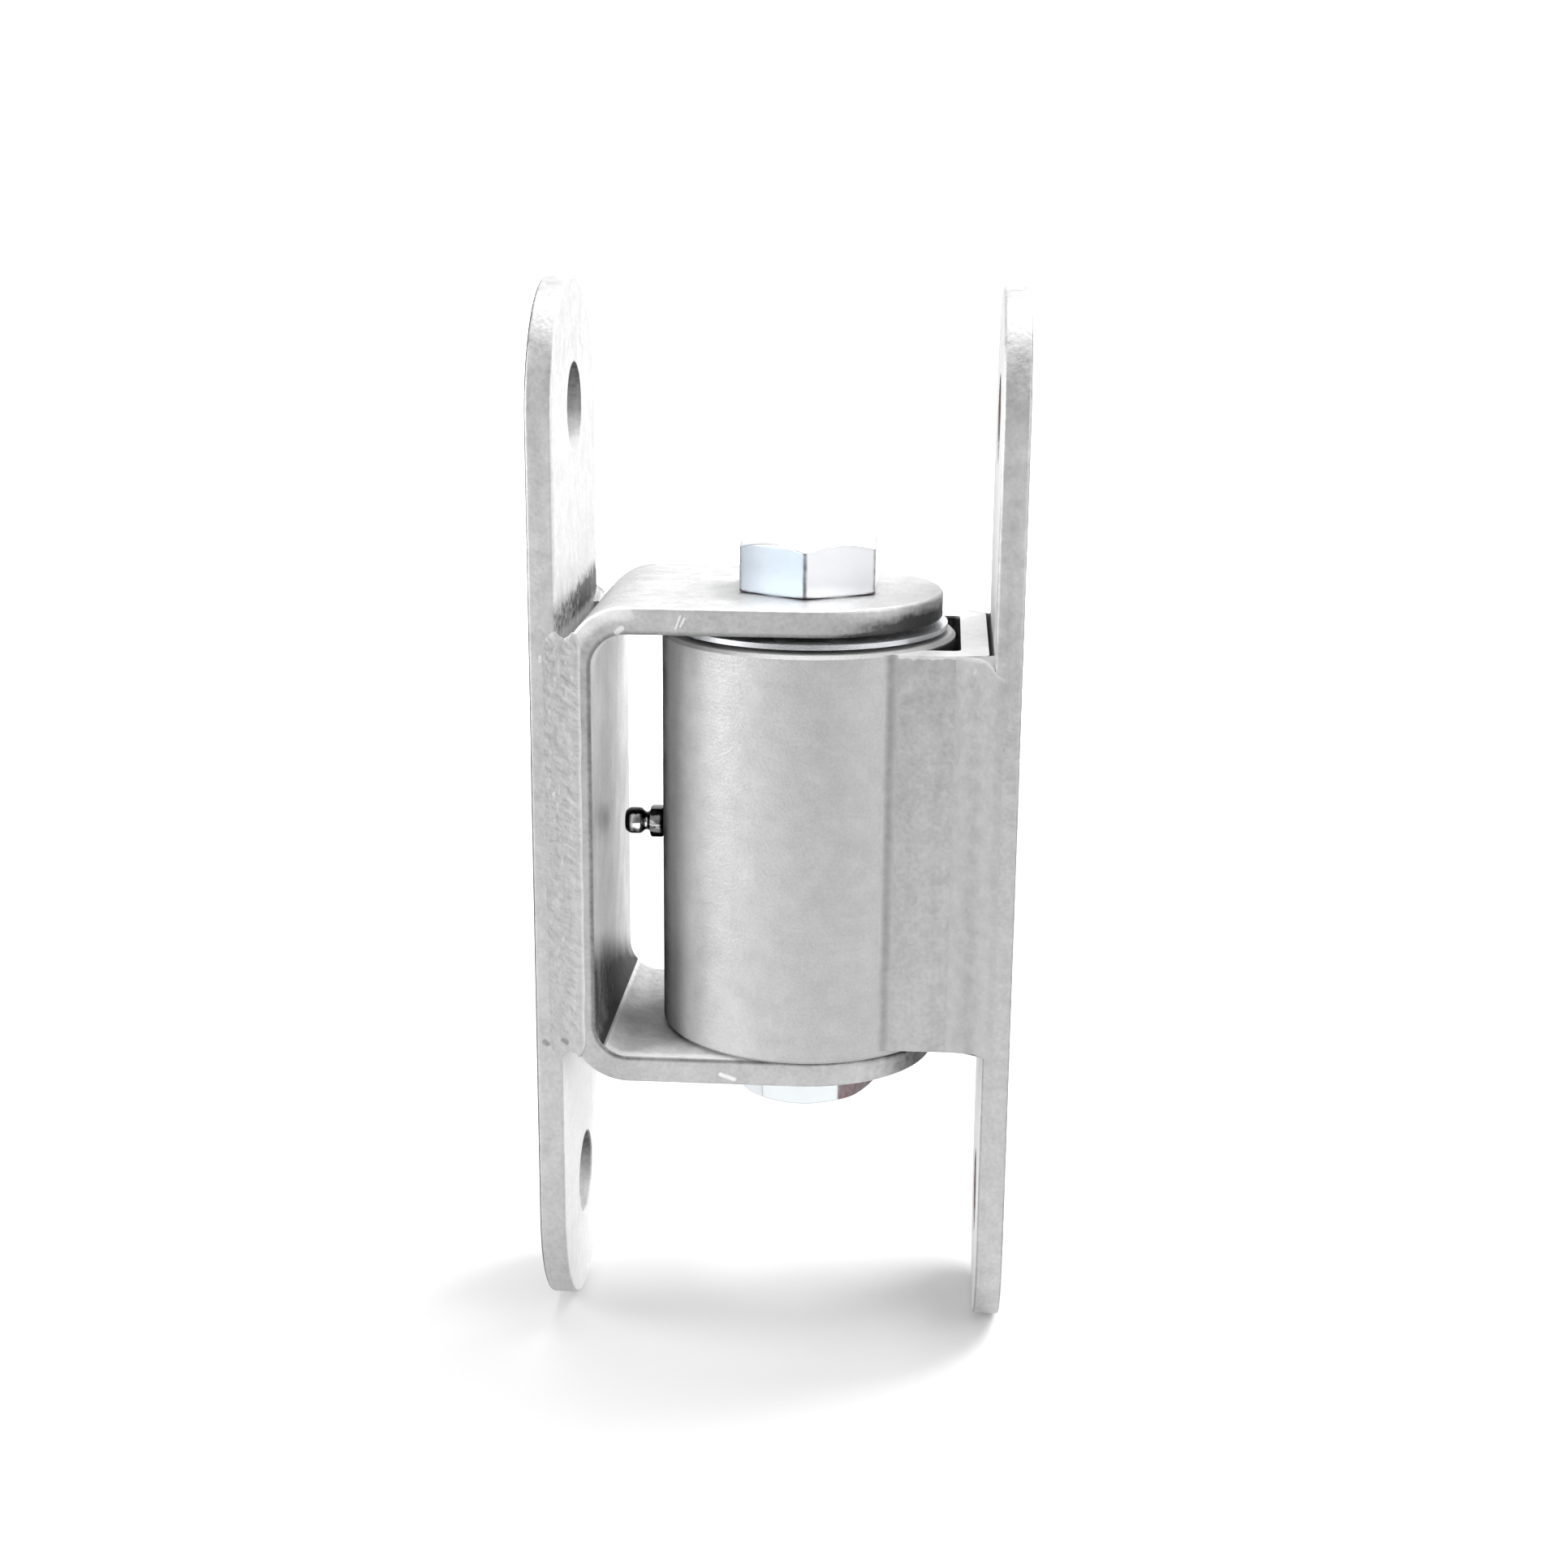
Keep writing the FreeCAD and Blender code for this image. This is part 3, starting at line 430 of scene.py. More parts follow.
# The foot of the bead goes into the gap: down the yoke side, across, and up the strap side
foot_share = np.array([[0.0, 0.5, 1.0, 1.0, 0.5, 0.0]])
yoke_side = np.array([[True, True, True, False, False, False]])
foot_z = bead_middle_z + along * (bead_reach - 0.0002 - 0.0033 * foot_share)
past_web = np.clip(np.abs(foot_z - bead_middle_z) - web_half, 0.0, bend_outer)
groove_x = yoke_low.x + bend_outer - np.sqrt(bend_outer ** 2 - past_web ** 2)
foot_x = np.where(yoke_side, groove_x, strap_face)
foot_y = -bar_half + bead_depth * foot_share
seam_loops = join_rows((bead_x, bead_y, bead_z), (foot_x, foot_y, foot_z))
# Painted highlight along the yoke's toe and at the upper end, painted shade on the ground side
seam_light_and_shade = np.clip((across - 0.80) / 0.15, 0.0, 1.0) + np.clip(1.0 - to_end / 0.0014, 0.0, 1.0) * (along > 0)
seam_light_and_shade = np.clip(seam_light_and_shade, 0.0, 1.0) - 0.4 * np.clip((0.6 - across) / 0.3, 0.0, 1.0)
seam_light_and_shade = np.hstack([seam_light_and_shade, np.zeros_like(foot_z)])
seam_weld = weld_finish("seam_weld_metal", 0.59, 0.00028)
lay_both("yoke_seam_bead", seam_loops, seam_light_and_shade, "yoke_seam_weld", "yoke_leaf", seam_weld)


# Gate strap: the twin of the yoke strap, bolted to the gate's upright.
# The same pickled bar, cut from another length, with a breath of rust and painted shade in its two holes.
gate_low, gate_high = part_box("gate_strap")
gate_middle = (gate_high.z + gate_low.z) / 2
gate_steel = Finish("gate_strap_steel", 0.5)
face, rim = bar_marks(gate_steel, abs(gate_steel.z - gate_middle) - strap_run, bar_half)
bores, upper_wall_shade = strap_bores(gate_steel, gate_middle)
inside = gate_steel.x.rise(gate_low.x + 0.0010, gate_low.x + 0.0005)
past_top = gate_steel.z - gate_middle - strap_run
# Painted shade in the bolt holes, most on the upper halves of their walls
gate_tone = 0.02 + pickled(gate_steel, upright_streak) + 0.04 * face - 0.15 * bores - 0.25 * upper_wall_shade
# Painted shade on the inner rounded edges below the top end; the other edges a shade paler
gate_tone += rim * (0.02 - 0.22 * inside * past_top.rise(0.0, -top_end))
# Painted highlight on the upper edges and painted shade on the rounded top end
gate_tone += 0.08 * (1.0 - face) * gate_steel.z.rise(light_band_from, light_band_to)
gate_tone -= past_top.rise(0.0, top_end) * (0.24 - 0.18 * face)
mounting_face = gate_steel.x.rise(gate_high.x - skin, gate_high.x - 0.0001)
gate_tone -= mounting_face * (0.30 + 0.3 * gate_steel.cloud(90.0, 5.0))
gate_steel.paint(gate_tone, bar_dark, bar_pale)
gate_steel.stain(bores * (0.35 + 1.5 * gate_steel.cloud(500.0)).under(0.6), (0.15, 0.07, 0.045))
gate_steel.dress("gate_strap")


# Bracket: a short length of channel, its legs cut to the round of the barrel and its web by the gate strap.
# Pickled outside, with a ragged bright burr along the saw cut and painted shade in its hollow.
bracket_low, bracket_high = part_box("bracket_channel")
leg_y, leg_thickness = bracket_low.y, 0.00635
hollow_y, hollow_x = -leg_y - leg_thickness, bracket_high.x - leg_thickness
bracket_steel = Finish("bracket_steel", 0.5)
ragged = bracket_steel.z + 0.0022 * bracket_steel.cloud(300.0, 4.0)
burr = ragged.rise(bracket_high.z - 0.0009, bracket_high.z - 0.0004)
# Painted shade on the inner faces of the hollow below the top
hollow = abs(bracket_steel.y).rise(hollow_y + 0.0004, hollow_y + 0.0001)
hollow *= bracket_steel.x.rise(hollow_x + 0.0004, hollow_x + 0.0001)
hollow *= bracket_steel.z.rise(bracket_high.z - 0.0002, bracket_high.z - 0.0008)
bracket_tone = pickled(bracket_steel, upright_streak) + 0.30 * burr - 0.45 * hollow
bracket_steel.paint(bracket_tone, bar_dark, bar_pale)
bracket_steel.dress("bracket_channel")


# Bracket seam welds: a broad bead in each corner of bracket leg and gate strap, dressed nearly flush.
# Weld metal that runs from the face of the leg out to the edge of the strap, with a slanting top end
# and a hollow bottom end that runs down the strap.
broad_start, broad_end, strap_arris = 0.0970, 0.1080, 0.1064
seam_length, cut_end = 0.095, 0.0012
bracket_height = bracket_high.z - bracket_low.z
along = np.linspace(0.0, 1.0, 320)[:, None]
step = np.linspace(0.0, 1.0, 31)[None, :]
broad_x = broad_start + (broad_end - broad_start) * step
top_drop = np.interp(step, [0.0, 0.45, 0.65, 0.85, 1.0], [0.0, 0.0, 0.0006, 0.0034, 0.0044])
foot_lift = np.interp(step, [0.0, 0.3, 0.6, 0.80, 1.0], [0.0, 0.0003, 0.0008, 0.0, -0.0020])
broad_z = bracket_low.z + foot_lift + along * (bracket_height - foot_lift - top_drop)
# The surface eases from the leg's face to the strap's edge, with a slight bulge between
climb = np.clip((broad_x - broad_start) / (strap_arris - broad_start), 0.0, 1.0)
ease = 0.6 * (3 * climb ** 2 - 2 * climb ** 3) + 0.4 * climb
bulge = np.sin(np.pi * climb) ** 2
broad_y = leg_y - hair - (bar_half + leg_y) * ease - 0.00003 * bulge * (1 + wander(broad_z))
root_x, root_y = np.array([[0.1057, 0.1036]]), leg_y + np.array([[0.0018, 0.0010]])
root_z = bracket_low.z + along * bracket_height
broad_loops = join_rows((broad_x, broad_y, broad_z), (root_x, root_y, root_z))
# Painted highlight on the last stretch of the top end, and painted shade on the bulge between leg and strap edge
broad_light_and_shade = np.clip(1.0 - (1.0 - along) * seam_length / cut_end, 0.0, 1.0)
broad_light_and_shade = broad_light_and_shade - np.hstack([0.6 * bulge, np.zeros_like(root_x)])
broad_weld = weld_finish("broad_weld_metal", 0.50, 0.0001)
lay_both("bracket_seam_bead", broad_loops, broad_light_and_shade, "bracket_seam_weld", "barrel_leaf", broad_weld)


# Barrel: thick steel tube with bevelled ends that houses the bearings and turns about the bolt.
# Satin drawn tube, faintly ringed by the lathe, with cloudy mottling; painted shade on the side of the nipple,
# painted light just inside that, and painted shade where the bracket hides it.
barrel_steel = Finish("barrel_tube_steel", 0.25)
barrel_steel.shader.inputs["Specular IOR Level"].default_value = 0.25
rings, blotch = barrel_steel.cloud(900.0, 2.0, (0.02, 0.02, 1.0)), barrel_steel.cloud(200.0, 4.0)
grain = barrel_steel.cloud(1600.0)
out_x = barrel_steel.x - pivot_x
limb = out_x.rise(-0.0308, -0.0345)
barrel_steel.polish(0.42 + 0.2 * (blotch + grain) + 0.3 * limb)
barrel_steel.relief(0.4 * rings + grain + blotch, 0.00010)
# Painted shade where the bracket hides the barrel
hidden = out_x.rise(0.0205, 0.0215) * abs(barrel_steel.y).rise(0.0224, 0.0220)
hidden *= barrel_steel.z.rise(bracket_high.z - 0.0002, bracket_high.z - 0.0010)
# Painted shade, mottled, on the flank towards the nipple, and painted light just inside it
limb_shade = limb * (0.50 + 0.5 * barrel_steel.cloud(150.0, 4.0))
limb_light = out_x.rise(-0.0312, -0.0292) * out_x.rise(-0.0235, -0.0275)
barrel_tone = 0.5 + 0.18 * blotch + 0.04 * rings + 0.16 * grain
barrel_steel.paint(barrel_tone - 0.45 * hidden - limb_shade + 0.10 * limb_light, bar_dark, bar_pale)
barrel_steel.dress("barrel")


# Barrel seam welds: a slim hollow bead in each valley where a bracket leg meets the barrel.
# Weld metal, smooth and a little dark, that lies as a hollow fillet of 6 mm radius touching barrel and leg.
barrel_radius = (barrel_high.x - barrel_low.x) / 2
fillet, root_depth = 0.006, 0.0004
fillet_y = fillet - leg_y
fillet_x = math.sqrt((barrel_radius + fillet) ** 2 - fillet_y ** 2)
first_turn = math.atan2(fillet_y, -fillet_x)
turn_to = first_turn + (math.pi / 2 - first_turn) * step
slim_z = bracket_low.z + along * bracket_height
slim_radius = fillet - hair - 0.00003 * np.sin(np.pi * step) * (1 + wander(slim_z))
slim_x = pivot_x + fillet_x + slim_radius * np.cos(turn_to)
slim_y = -fillet_y + slim_radius * np.sin(turn_to)
valley_x = pivot_x + math.sqrt(barrel_radius ** 2 - leg_y ** 2) + root_depth
slim_loops = join_rows((slim_x, slim_y, slim_z), (valley_x, leg_y + root_depth, slim_z))
# Painted shade along the middle of the hollow bead and painted light at its toes
slim_light_and_shade = 0.5 - 0.9 * np.hstack([np.sin(np.pi * step) ** 1.5, np.zeros((1, 1))])
slim_weld = weld_finish("slim_weld_metal", 0.42, 0.0001)
lay_both("barrel_seam_bead", slim_loops, slim_light_and_shade, "barrel_seam_weld", "barrel_leaf", slim_weld)


# Bearings: cups pressed into the barrel, cones on the bolt, tapered rollers and their pressed cages.
# Hardened steel, ground bright on the races and rollers, plain on the cages.
def ground_steel(name, dark, pale, rough):
    """Machined steel: tone and gloss follow cloudy noise and fine turning rings."""
    finish = Finish(name, 1.0)
    cloudy, turning = finish.cloud(260.0), finish.cloud(2500.0, 2.0, (0.05, 0.05, 1.0))
    finish.polish(rough + 0.15 * cloudy)
    finish.relief(turning, 0.00002)
    finish.paint(0.5 + cloudy + 0.5 * turning, dark, pale)
    return finish


race_steel = ground_steel("ground_race_steel", (0.56, 0.56, 0.57), (0.70, 0.70, 0.71), 0.16)
race_steel.dress("lower_bearing_cup", "upper_bearing_cup", "lower_bearing_cone", "upper_bearing_cone",
                 "lower_rollers", "upper_rollers")
cage_steel = ground_steel("pressed_cage_steel", (0.30, 0.29, 0.27), (0.42, 0.40, 0.38), 0.42)
cage_steel.dress("lower_roller_cage", "upper_roller_cage")


# Grease seals: cased lip seals pushed into the barrel ends, running on the spacer rings.
# Black nitrile rubber with a faint bloom.
seal_rubber = Finish("seal_rubber_black", 0.0)
bloom = seal_rubber.cloud(350.0, 4.0)
seal_rubber.polish(0.6 + 0.3 * bloom)
seal_rubber.relief(seal_rubber.cloud(2200.0, 2.0), 0.00003)
seal_rubber.paint(0.5 + bloom, (0.012, 0.012, 0.012), (0.045, 0.044, 0.042))
seal_rubber.dress("lower_grease_seal", "upper_grease_seal")


# Sleeve, spacer rings and shim: turned rings threaded on the bolt to hold the bearings apart.
# Plain turned steel, a little dull under the grease.
ring_steel = ground_steel("turned_ring_steel", (0.40, 0.40, 0.40), (0.54, 0.54, 0.54), 0.30)
ring_steel.dress("bearing_sleeve", "lower_spacer_ring", "upper_spacer_ring", "shim_washer")


# Dust washer: thin wide washer over the barrel's top end.
# Stamped steel with bright bluish zinc plate, slightly cloudy.
def zinc_plate(name, metallic, rough, dark, pale):
    """Bright zinc: tone follows large clouds, gloss follows smaller ones, over a fine satin grain."""
    finish = Finish(name, metallic)
    clouds = finish.cloud(140.0)
    finish.polish(rough + 0.12 * clouds)
    finish.relief(finish.cloud(2600.0, 2.0), 0.00002)
    finish.paint(0.5 + 0.9 * finish.cloud(80.0, 2.0, (1.0, 1.3, 0.8)) + 0.4 * clouds, dark, pale)
    return finish


washer_zinc = zinc_plate("washer_zinc", 0.85, 0.26, (0.60, 0.61, 0.63), (0.80, 0.82, 0.85))
washer_zinc.dress("dust_washer")


# Pivot bolt: heavy hex bolt through both ears, head on top with a corner to the front, thread at the foot.
# Forged and rolled steel with bluish zinc plate, its corners and chamfer softened, with painted shade along the corner
# lines and where the flats meet the chamfer.
def hexagon(angle, flat_radius, first_flat, sharpness):
    """Radius of a hexagon with rounded corners at each angle: flat_radius over the p-norm of the
    cosines of the angle to each flat's normal, where p is the sharpness."""
    normals = first_flat + np.arange(6) * math.pi / 3
    facing = np.clip(np.cos(angle[..., None] - normals), 0.0, None) ** sharpness
    return flat_radius * facing.sum(axis=-1) ** (-1.0 / sharpness)


def soft_least(first, second, rounding):
    """The lesser of two radii, with the crease between them rounded: minus the log of the sum of both
    falling exponentials, in units of the rounding."""
    return -rounding * np.log(np.exp(-first / rounding) + np.exp(-second / rounding))


def turned(*bands):
    """Loops round the pivot's axis, from bands of rows (radius, height) laid one after another: each
    point lies its radius away from the axis at its angle."""
    spread = [np.broadcast_arrays(radius, height, angle)[:2] for radius, height in bands]
    radius, height = (np.vstack(arrays) for arrays in zip(*spread))
    return np.stack([pivot_x + radius * np.cos(angle), radius * np.sin(angle), height], axis=-1)


bolt_low, bolt_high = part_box("pivot_bolt")
flat_radius = (bolt_high.x - bolt_low.x) / 2
seat = yoke_high.z
thread_radius, thread_pitch, thread_depth, thread_length = 0.009525, 0.00254, 0.0014, 0.0200
thread_top = bolt_low.z + thread_length
rim_radius, chamfer_rise = 0.0155, math.tan(math.radians(30))
corner_sharpness, crease_rounding = 120.0, 0.00008
angle = np.linspace(0.0, 2 * math.pi, 360, endpoint=False)[None, :]
# Flat end of the bolt, then its thread behind a short lead-in: the groove is a clipped triangle wave of
# the height in pitches less the angle in turns, and it runs out over the last two pitches
bolt_end = np.array([(0.0015, 0.0), (0.0075, 0.0), (0.0081, 0.00005)]) + (0.0, bolt_low.z)
thread_z = np.linspace(bolt_low.z + 0.0002, thread_top, 170)[:, None]
turns = thread_z / thread_pitch - angle / (2 * math.pi)
groove = thread_depth * np.clip(1.25 * np.abs(2 * (turns % 1.0) - 1) - 0.12, 0.0, 1.0)
run_out = np.clip((thread_top - thread_z) / (2 * thread_pitch), 0.0, 1.0)
lead_in = thread_radius - 0.0013 + (thread_z - bolt_low.z)
thread_r = np.minimum(thread_radius - groove * run_out, lead_in)
# Plain shank, and the underside of the head on its seat
shank = np.array([(thread_radius, thread_top + 0.0005), (thread_radius, seat - 0.0004), (0.0097, seat - 0.0001),
                  (0.0153, seat), (rim_radius, seat + 0.00005), (rim_radius, seat + 0.00035), (0.01552, seat + 0.0004)])
# Sides of the head: the lesser of the hexagon and the chamfer's cone, then the slightly dished top
side_z = np.concatenate([np.linspace(seat + 0.0004, bolt_high.z - 0.0026, 10),
                         np.linspace(bolt_high.z - 0.0025, bolt_high.z, 26)])[:, None]
side_flat = hexagon(angle, flat_radius, 0.0, corner_sharpness)
side_chamfer = rim_radius + (bolt_high.z - side_z) / chamfer_rise
side_r = soft_least(side_flat, side_chamfer, crease_rounding)
head_top = np.array([(0.0154, -0.00004), (0.0151, -0.00002), (0.0140, -0.00002), (0.0110, -0.00004),
                     (0.0060, -0.00007), (0.0015, -0.00008)]) + (0.0, bolt_high.z)
bolt_loops = turned(np.hsplit(bolt_end, 2), (thread_r, thread_z), np.hsplit(shank, 2), (side_r, side_z),
                    np.hsplit(head_top, 2))
bolt = closed_skin("hex_pivot_bolt", bolt_loops, True)
# The crease is the line where a flat runs into the chamfer: there both radii are alike
crease = np.zeros(bolt_loops.shape[:2])
crease[-len(head_top) - len(side_z):-len(head_top)] = np.exp(-((side_flat - side_chamfer) / 0.0004) ** 2)
put_mark(bolt, "crease", crease)
bolt_zinc = zinc_plate("bolt_zinc", 0.7, 0.30, (0.86, 0.88, 0.92), (0.96, 0.96, 0.98))
out_x = bolt_zinc.x - pivot_x
from_axis = out_x.far(bolt_zinc.y)
on_flats = bolt_zinc.z.rise(bolt_high.z - 0.0002, bolt_high.z - 0.0012)
# Painted shade, bluish, on the flats on the -x side, strongest towards their front corner
bluish_shade = (0.72 + 0.25 * out_x.rise(-0.016, 0.0)) * out_x.rise(0.0006, -0.0006) * on_flats
bolt_zinc.stain(bluish_shade, (0.40, 0.47, 0.54))
# Painted shade along the creases where the flats run into the chamfer
bolt_zinc.stain(bolt_zinc.mark("crease") * (0.75 + 0.8 * bolt_zinc.cloud(300.0)), (0.16, 0.15, 0.17))
# Painted shade, dark with a reddish trace, sits along the corners, which stand 18 mm from the axis, and round the
# head's foot
corner_and_foot_shade = from_axis.rise(0.0179, 0.0182) * (0.35 + 1.2 * bolt_zinc.cloud(500.0))
head_foot = bolt_zinc.z.rise(seat + 0.0010, seat + 0.0002) * from_axis.rise(0.0148, 0.0158)
corner_and_foot_shade += head_foot * (0.25 + from_axis.rise(0.0168, 0.0180))
bolt_zinc.stain(corner_and_foot_shade.under(0.95), (0.09, 0.05, 0.06))
bolt.data.materials.append(bolt_zinc.material)
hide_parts("pivot_bolt")
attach(bolt, "yoke_leaf")


# Lock nut: thin hex nut run up under the lower ear, a flat to the front.
# Zinc plated like the bolt, chamfered on both faces, with a countersink at each end of its thread;
# the flank towards the gate has a reddish, mottled painted shadow.
nut_low, nut_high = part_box("lock_nut")
nut_height = nut_high.z - nut_low.z
bore_radius, countersink, face_radius = 0.00962, 0.0009, 0.0150
chamfer_height, flat_start = 0.0026, 0.0030
outer_z = np.concatenate([np.linspace(0.0, chamfer_height, 26),
                          np.linspace(flat_start, nut_height - flat_start, 8),
                          np.linspace(nut_height - chamfer_height, nut_height, 26)])[:, None]
cone_r = rim_radius + np.minimum(outer_z, nut_height - outer_z) / chamfer_rise
outer_r = soft_least(hexagon(angle, flat_radius, math.pi / 6, corner_sharpness), cone_r, crease_rounding)
# From the top face down through the bore to the lower face, which is the upper half turned over
lower_bore = np.array([(face_radius, 0.0), (bore_radius + countersink, 0.0), (bore_radius + 0.00002, countersink),
                       (bore_radius, 0.0010)])
bore = np.vstack([lower_bore * (1.0, -1.0) + (0.0, nut_height), lower_bore[::-1]]) + (0.0, nut_low.z)
nut = closed_skin("thin_lock_nut", turned((outer_r, nut_low.z + outer_z), np.hsplit(bore, 2)), False)
nut_zinc = zinc_plate("nut_zinc", 0.85, 0.24, (0.80, 0.84, 0.88), (0.88, 0.92, 0.96))
front_back = abs(nut_zinc.y).rise(flat_radius - 0.0006, flat_radius - 0.0002)
nut_zinc.stain(0.9 * front_back, (0.70, 0.74, 0.755))
# Painted shadow on the flank towards the gate, reddish and mottled dark grey
gate_flank = (nut_zinc.x - pivot_x).rise(0.0085, 0.0100)
nut_zinc.stain(gate_flank * (0.8 + 1.2 * nut_zinc.cloud(400.0)), (0.45, 0.26, 0.28))
nut_zinc.stain(gate_flank * (0.35 + 2.5 * nut_zinc.cloud(350.0, 4.0, (1.0, 1.3, 0.7))), (0.22, 0.22, 0.22))
nut.data.materials.append(nut_zinc.material)
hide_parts("lock_nut")
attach(nut, "yoke_leaf")


# Grease nipple: turned nipple with a hex collar, a waist and a round-edged head, screwed into the barrel.
# Zinc plated free-cutting steel, bright along its middle, with painted shade on its upper and lower sides, its root and
# its waist, and dark at its mouth.
nipple_low, nipple_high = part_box("grease_nipple")
nipple_z = (nipple_low.z + nipple_high.z) / 2
nipple_root = barrel_low.x
collar_half, collar_sharpness = 0.00355, 90.0
# Reach out of the barrel and radius in mm, outside and then back through the bore; a radius of 9 leaves
# the collar to its hexagon
nipple_profile = np.array([
    (-5.60, 0.80), (-5.60, 3.17), (-0.05, 3.17), (0.00, 3.40), (0.00, 3.60), (0.30, 9.0), (2.90, 9.0),
    (3.20, 3.60), (3.20, 3.30), (3.35, 2.90), (3.60, 2.50), (3.90, 2.27), (4.25, 2.20), (4.60, 2.30),
    (4.95, 2.62), (5.35, 3.02), (5.70, 3.20), (6.10, 3.25), (7.60, 3.25), (8.10, 3.20), (8.55, 3.02),
    (9.00, 2.75), (9.30, 2.50), (9.40, 2.30), (9.40, 1.30), (9.32, 1.05), (9.00, 1.00), (7.90, 1.50),
    (-4.90, 1.50), (-4.90, 0.80)]) / 1000
spin = np.linspace(0.0, 2 * math.pi, 144, endpoint=False)[None, :]
nipple_r = np.minimum(nipple_profile[:, 1:], hexagon(spin, collar_half, math.pi / 2, collar_sharpness))
nipple_loops = join_rows((nipple_root - nipple_profile[:, :1], nipple_r * np.cos(spin),
                          nipple_z + nipple_r * np.sin(spin)))[:, ::-1]
nipple = closed_skin("turned_grease_nipple", nipple_loops, False)
nipple_zinc = zinc_plate("nipple_zinc_bright", 1.0, 0.18, (0.94, 0.94, 0.95), (0.99, 0.99, 0.99))
reach = nipple_root - nipple_zinc.x
off_axis = abs(nipple_zinc.z - nipple_z) + 0.0012 * nipple_zinc.cloud(600.0)
# Painted shade on the upper and lower sides, at the root, behind the collar and round the waist, and dark on the mouth
shade_and_dark_mouth = reach.rise(0.0076, 0.0084) + off_axis.rise(0.0019, 0.0024)
shade_and_dark_mouth += reach.rise(0.0010, 0.0004) + reach.rise(0.0030, 0.0033) * reach.rise(0.0041, 0.0038)
shade_and_dark_mouth += off_axis.rise(0.0010, 0.0015) * reach.rise(0.0034, 0.0038) * reach.rise(0.0055, 0.0050)
nipple_zinc.stain(shade_and_dark_mouth, (0.015, 0.015, 0.015))
nipple.data.materials.append(nipple_zinc.material)
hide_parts("grease_nipple")
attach(nipple, "barrel_leaf")


# Check ball and spring: a steel ball that closes the nipple's mouth, and the coil spring behind it.
# Ball bearing steel and drawn wire; grease pushed in drives the ball back and shortens the spring.
race_steel.dress("nipple_ball")
spring_low, spring_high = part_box("nipple_spring")
wire, coil, coil_turns, ball_stroke = 0.00015, 0.0011, 6, 0.0008
spring_length = spring_high.x - spring_low.x
spring_run = spring_length - 2 * wire
# A round wire carried along a helix: its section lies across the wire's own direction
share = np.linspace(0.0, 1.0, 24 * coil_turns + 1)[:, None, None]
winding = 2 * math.pi * coil_turns * share
round_wire = np.linspace(0.0, 2 * math.pi, 12, endpoint=False)[None, :, None]
advance = spring_run / (2 * math.pi * coil_turns)
still = np.zeros_like(winding)
outward = np.concatenate([still, np.cos(winding), np.sin(winding)], axis=-1)
onward = np.concatenate([still + advance, -coil * np.sin(winding), coil * np.cos(winding)], axis=-1)
sideways = np.cross(onward / np.linalg.norm(onward, axis=-1, keepdims=True), outward)
axis_point = np.concatenate([spring_low.x + wire + spring_run * share, still, still + nipple_z], axis=-1)
wire_middle = axis_point + coil * outward
spring_loops = wire_middle + wire * (np.cos(round_wire) * outward + np.sin(round_wire) * sideways)
spring = closed_skin("coil_spring", spring_loops, True)
spring.data.materials.append(race_steel.material)
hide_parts("nipple_spring")
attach(spring, "barrel_leaf")
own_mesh(spring)


# Floor: a wide white sheet under the hinge, not part of it.
# Plain matt white, lit faintly from below like a light table, with the corner cut off that no lamp reaches.
floor_z = cad_box[0].z
floor_corners = np.array([(-0.8, -0.72), (0.9, -0.72), (0.9, 0.6), (-0.3, 0.55), (-0.7, 0.1)])
floor_points = np.insert(floor_corners, 2, floor_z, axis=1)
floor_mesh = bpy.data.meshes.new("floor")
floor_mesh.from_pydata(floor_points.tolist(), [], [(0, 1, 2, 3, 4)])
floor = bpy.data.objects.new("floor", floor_mesh)
floor_paint = bpy.data.materials.new("floor_white")
floor_paint.use_nodes = True
floor_shader = floor_paint.node_tree.nodes["Principled BSDF"]
floor_shader.inputs["Base Color"].default_value = (0.5, 0.5, 0.5, 1.0)
floor_shader.inputs["Roughness"].default_value = 0.9
floor_shader.inputs["Specular IOR Level"].default_value = 0.1
floor_shader.inputs["Emission Color"].default_value = (1.0, 1.0, 1.0, 1.0)
floor_shader.inputs["Emission Strength"].default_value = 0.10
floor_mesh.materials.append(floor_paint)
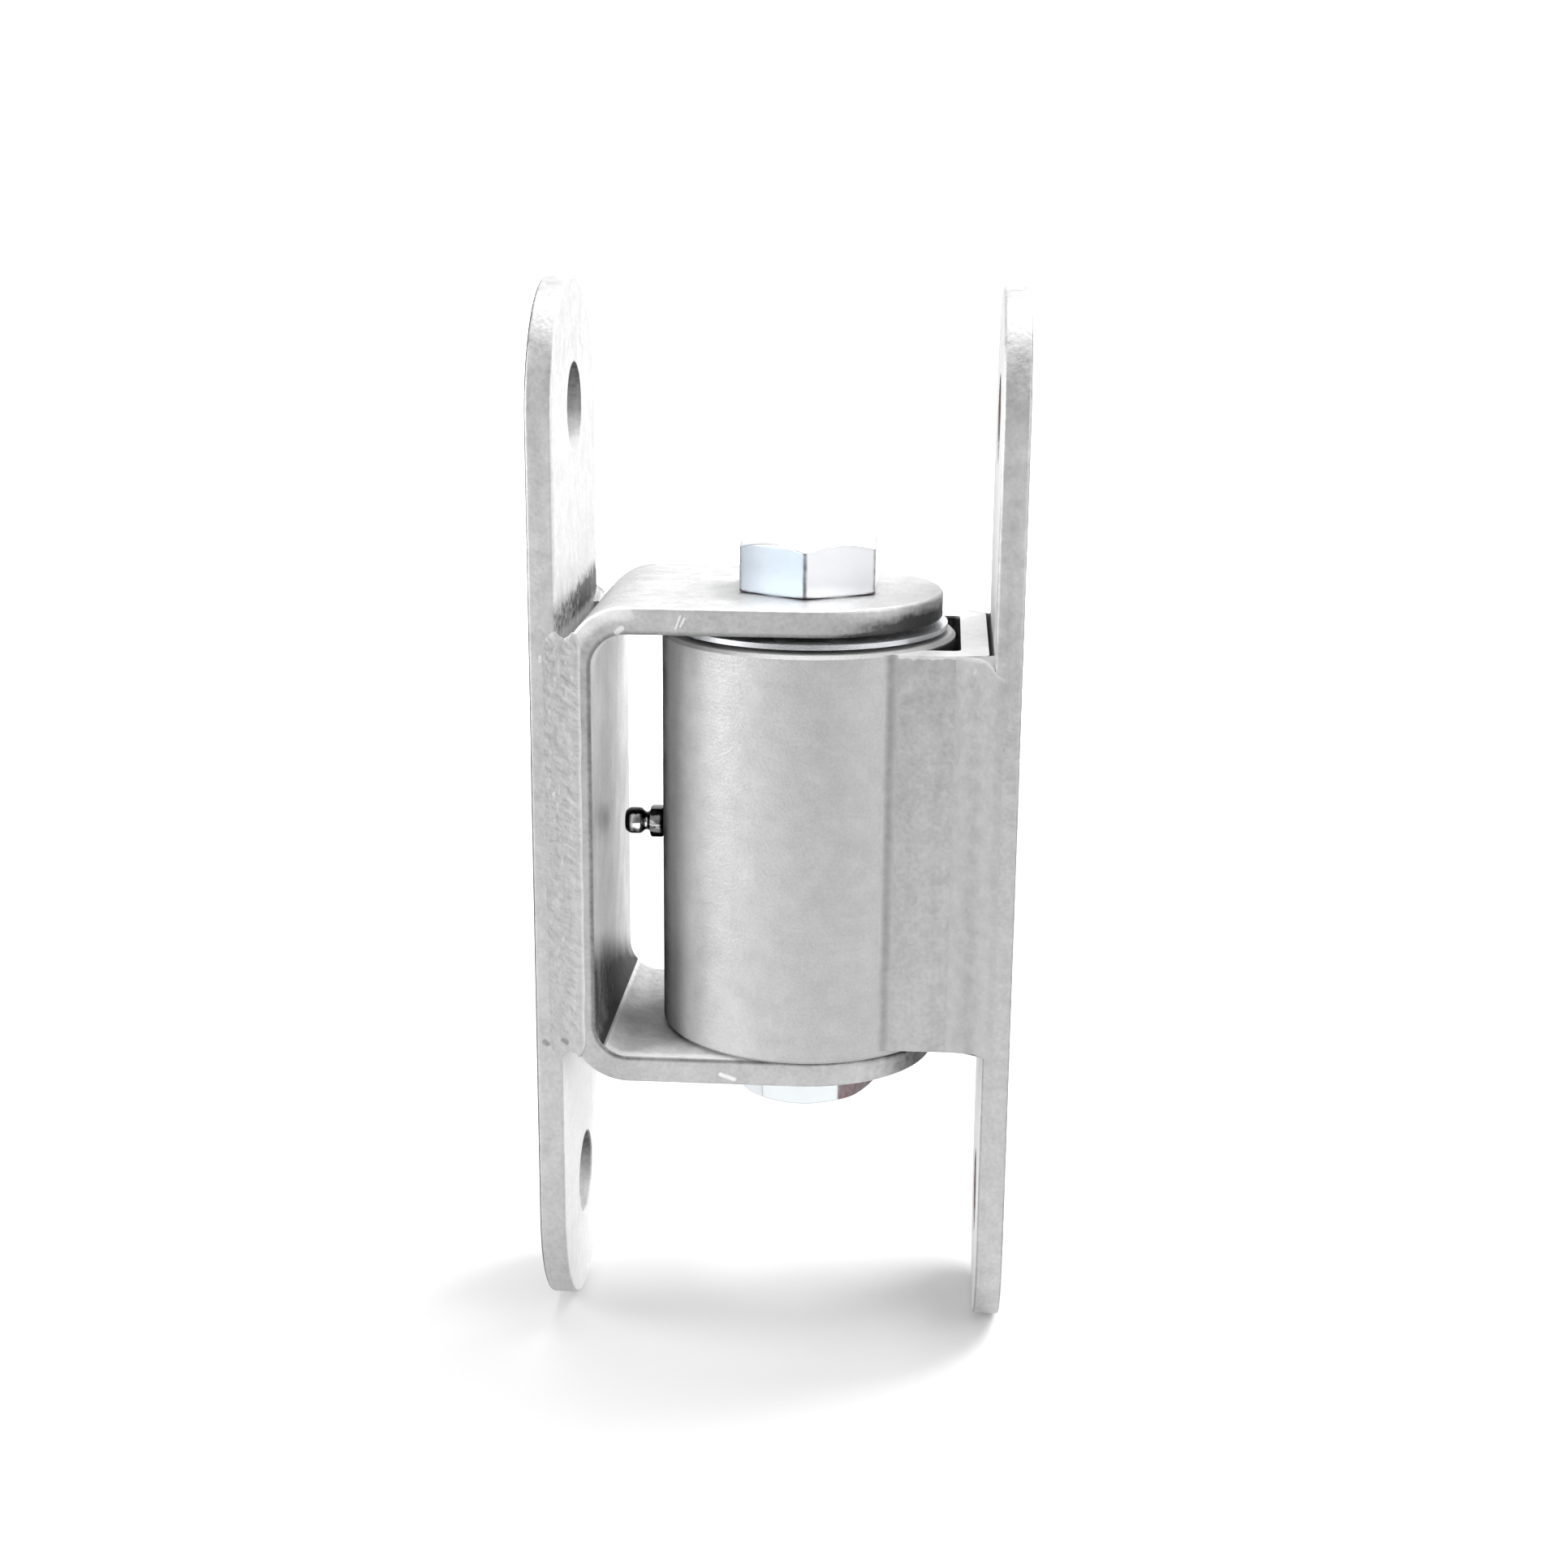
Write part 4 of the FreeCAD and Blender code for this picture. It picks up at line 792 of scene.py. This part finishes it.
bpy.context.scene.collection.objects.link(floor)


# Light: a white studio that lights little from the front and more from behind, and is white to the eye all round;
# a strong soft box far to the left, a weak one at the right, one overhead, and a strong one high behind at the right
# that catches tops and inner faces.
front_light, back_light, white_ground = 0.10, 1.2, 1.2
world = bpy.data.worlds.new("studio")
world.use_nodes = True
tree = world.node_tree
heading = tree.nodes.new("ShaderNodeSeparateXYZ")
tree.links.new(tree.nodes.new("ShaderNodeTexCoord").outputs["Generated"], heading.inputs[0])
behind = Field(tree, heading.outputs["Y"]).rise(-0.9, 0.6)
seen = Field(tree, tree.nodes.new("ShaderNodeLightPath").outputs["Is Camera Ray"])
strength = front_light + back_light * behind + white_ground * seen
tree.links.new(strength.socket, tree.nodes["Background"].inputs["Strength"])
tree.nodes["Background"].inputs["Color"].default_value = (1.0, 1.0, 1.0, 1.0)
bpy.context.scene.world = world
aim = Vector((0.06, 0.0, 0.0))
soft_boxes = [("left_box", (-0.85, -0.28, 0.30), 0.6, 13.5), ("right_box", (0.75, -0.40, 0.30), 0.5, 3.6),
              ("rim_box", (0.60, 0.45, 0.70), 0.6, 15.0), ("top_box", (0.06, 0.05, 0.85), 0.6, 5.5)]
for name, spot, width, power in soft_boxes:
    lamp = bpy.data.lights.new(name, "AREA")
    lamp.size = width
    lamp.energy = power
    stand = bpy.data.objects.new(name, lamp)
    stand.location = spot
    stand.rotation_euler = (aim - stand.location).to_track_quat("-Z", "Y").to_euler()
    bpy.context.scene.collection.objects.link(stand)
bpy.context.scene.view_settings.view_transform = "Standard"


# Camera: the photograph's viewing angle, a little above and to the right of the pivot.
# Its place, turn and lens come from a fit to the photograph's edges.
camera = bpy.data.cameras.new("camera")
camera.lens = 52.223
camera.sensor_width = 36.0
eye = bpy.data.objects.new("camera", camera)
eye.location = (0.092331, -0.533481, 0.146606)
eye.rotation_euler = (math.radians(75.3353), math.radians(-0.4647), math.radians(3.9784))
bpy.context.scene.collection.objects.link(eye)
bpy.context.scene.camera = eye
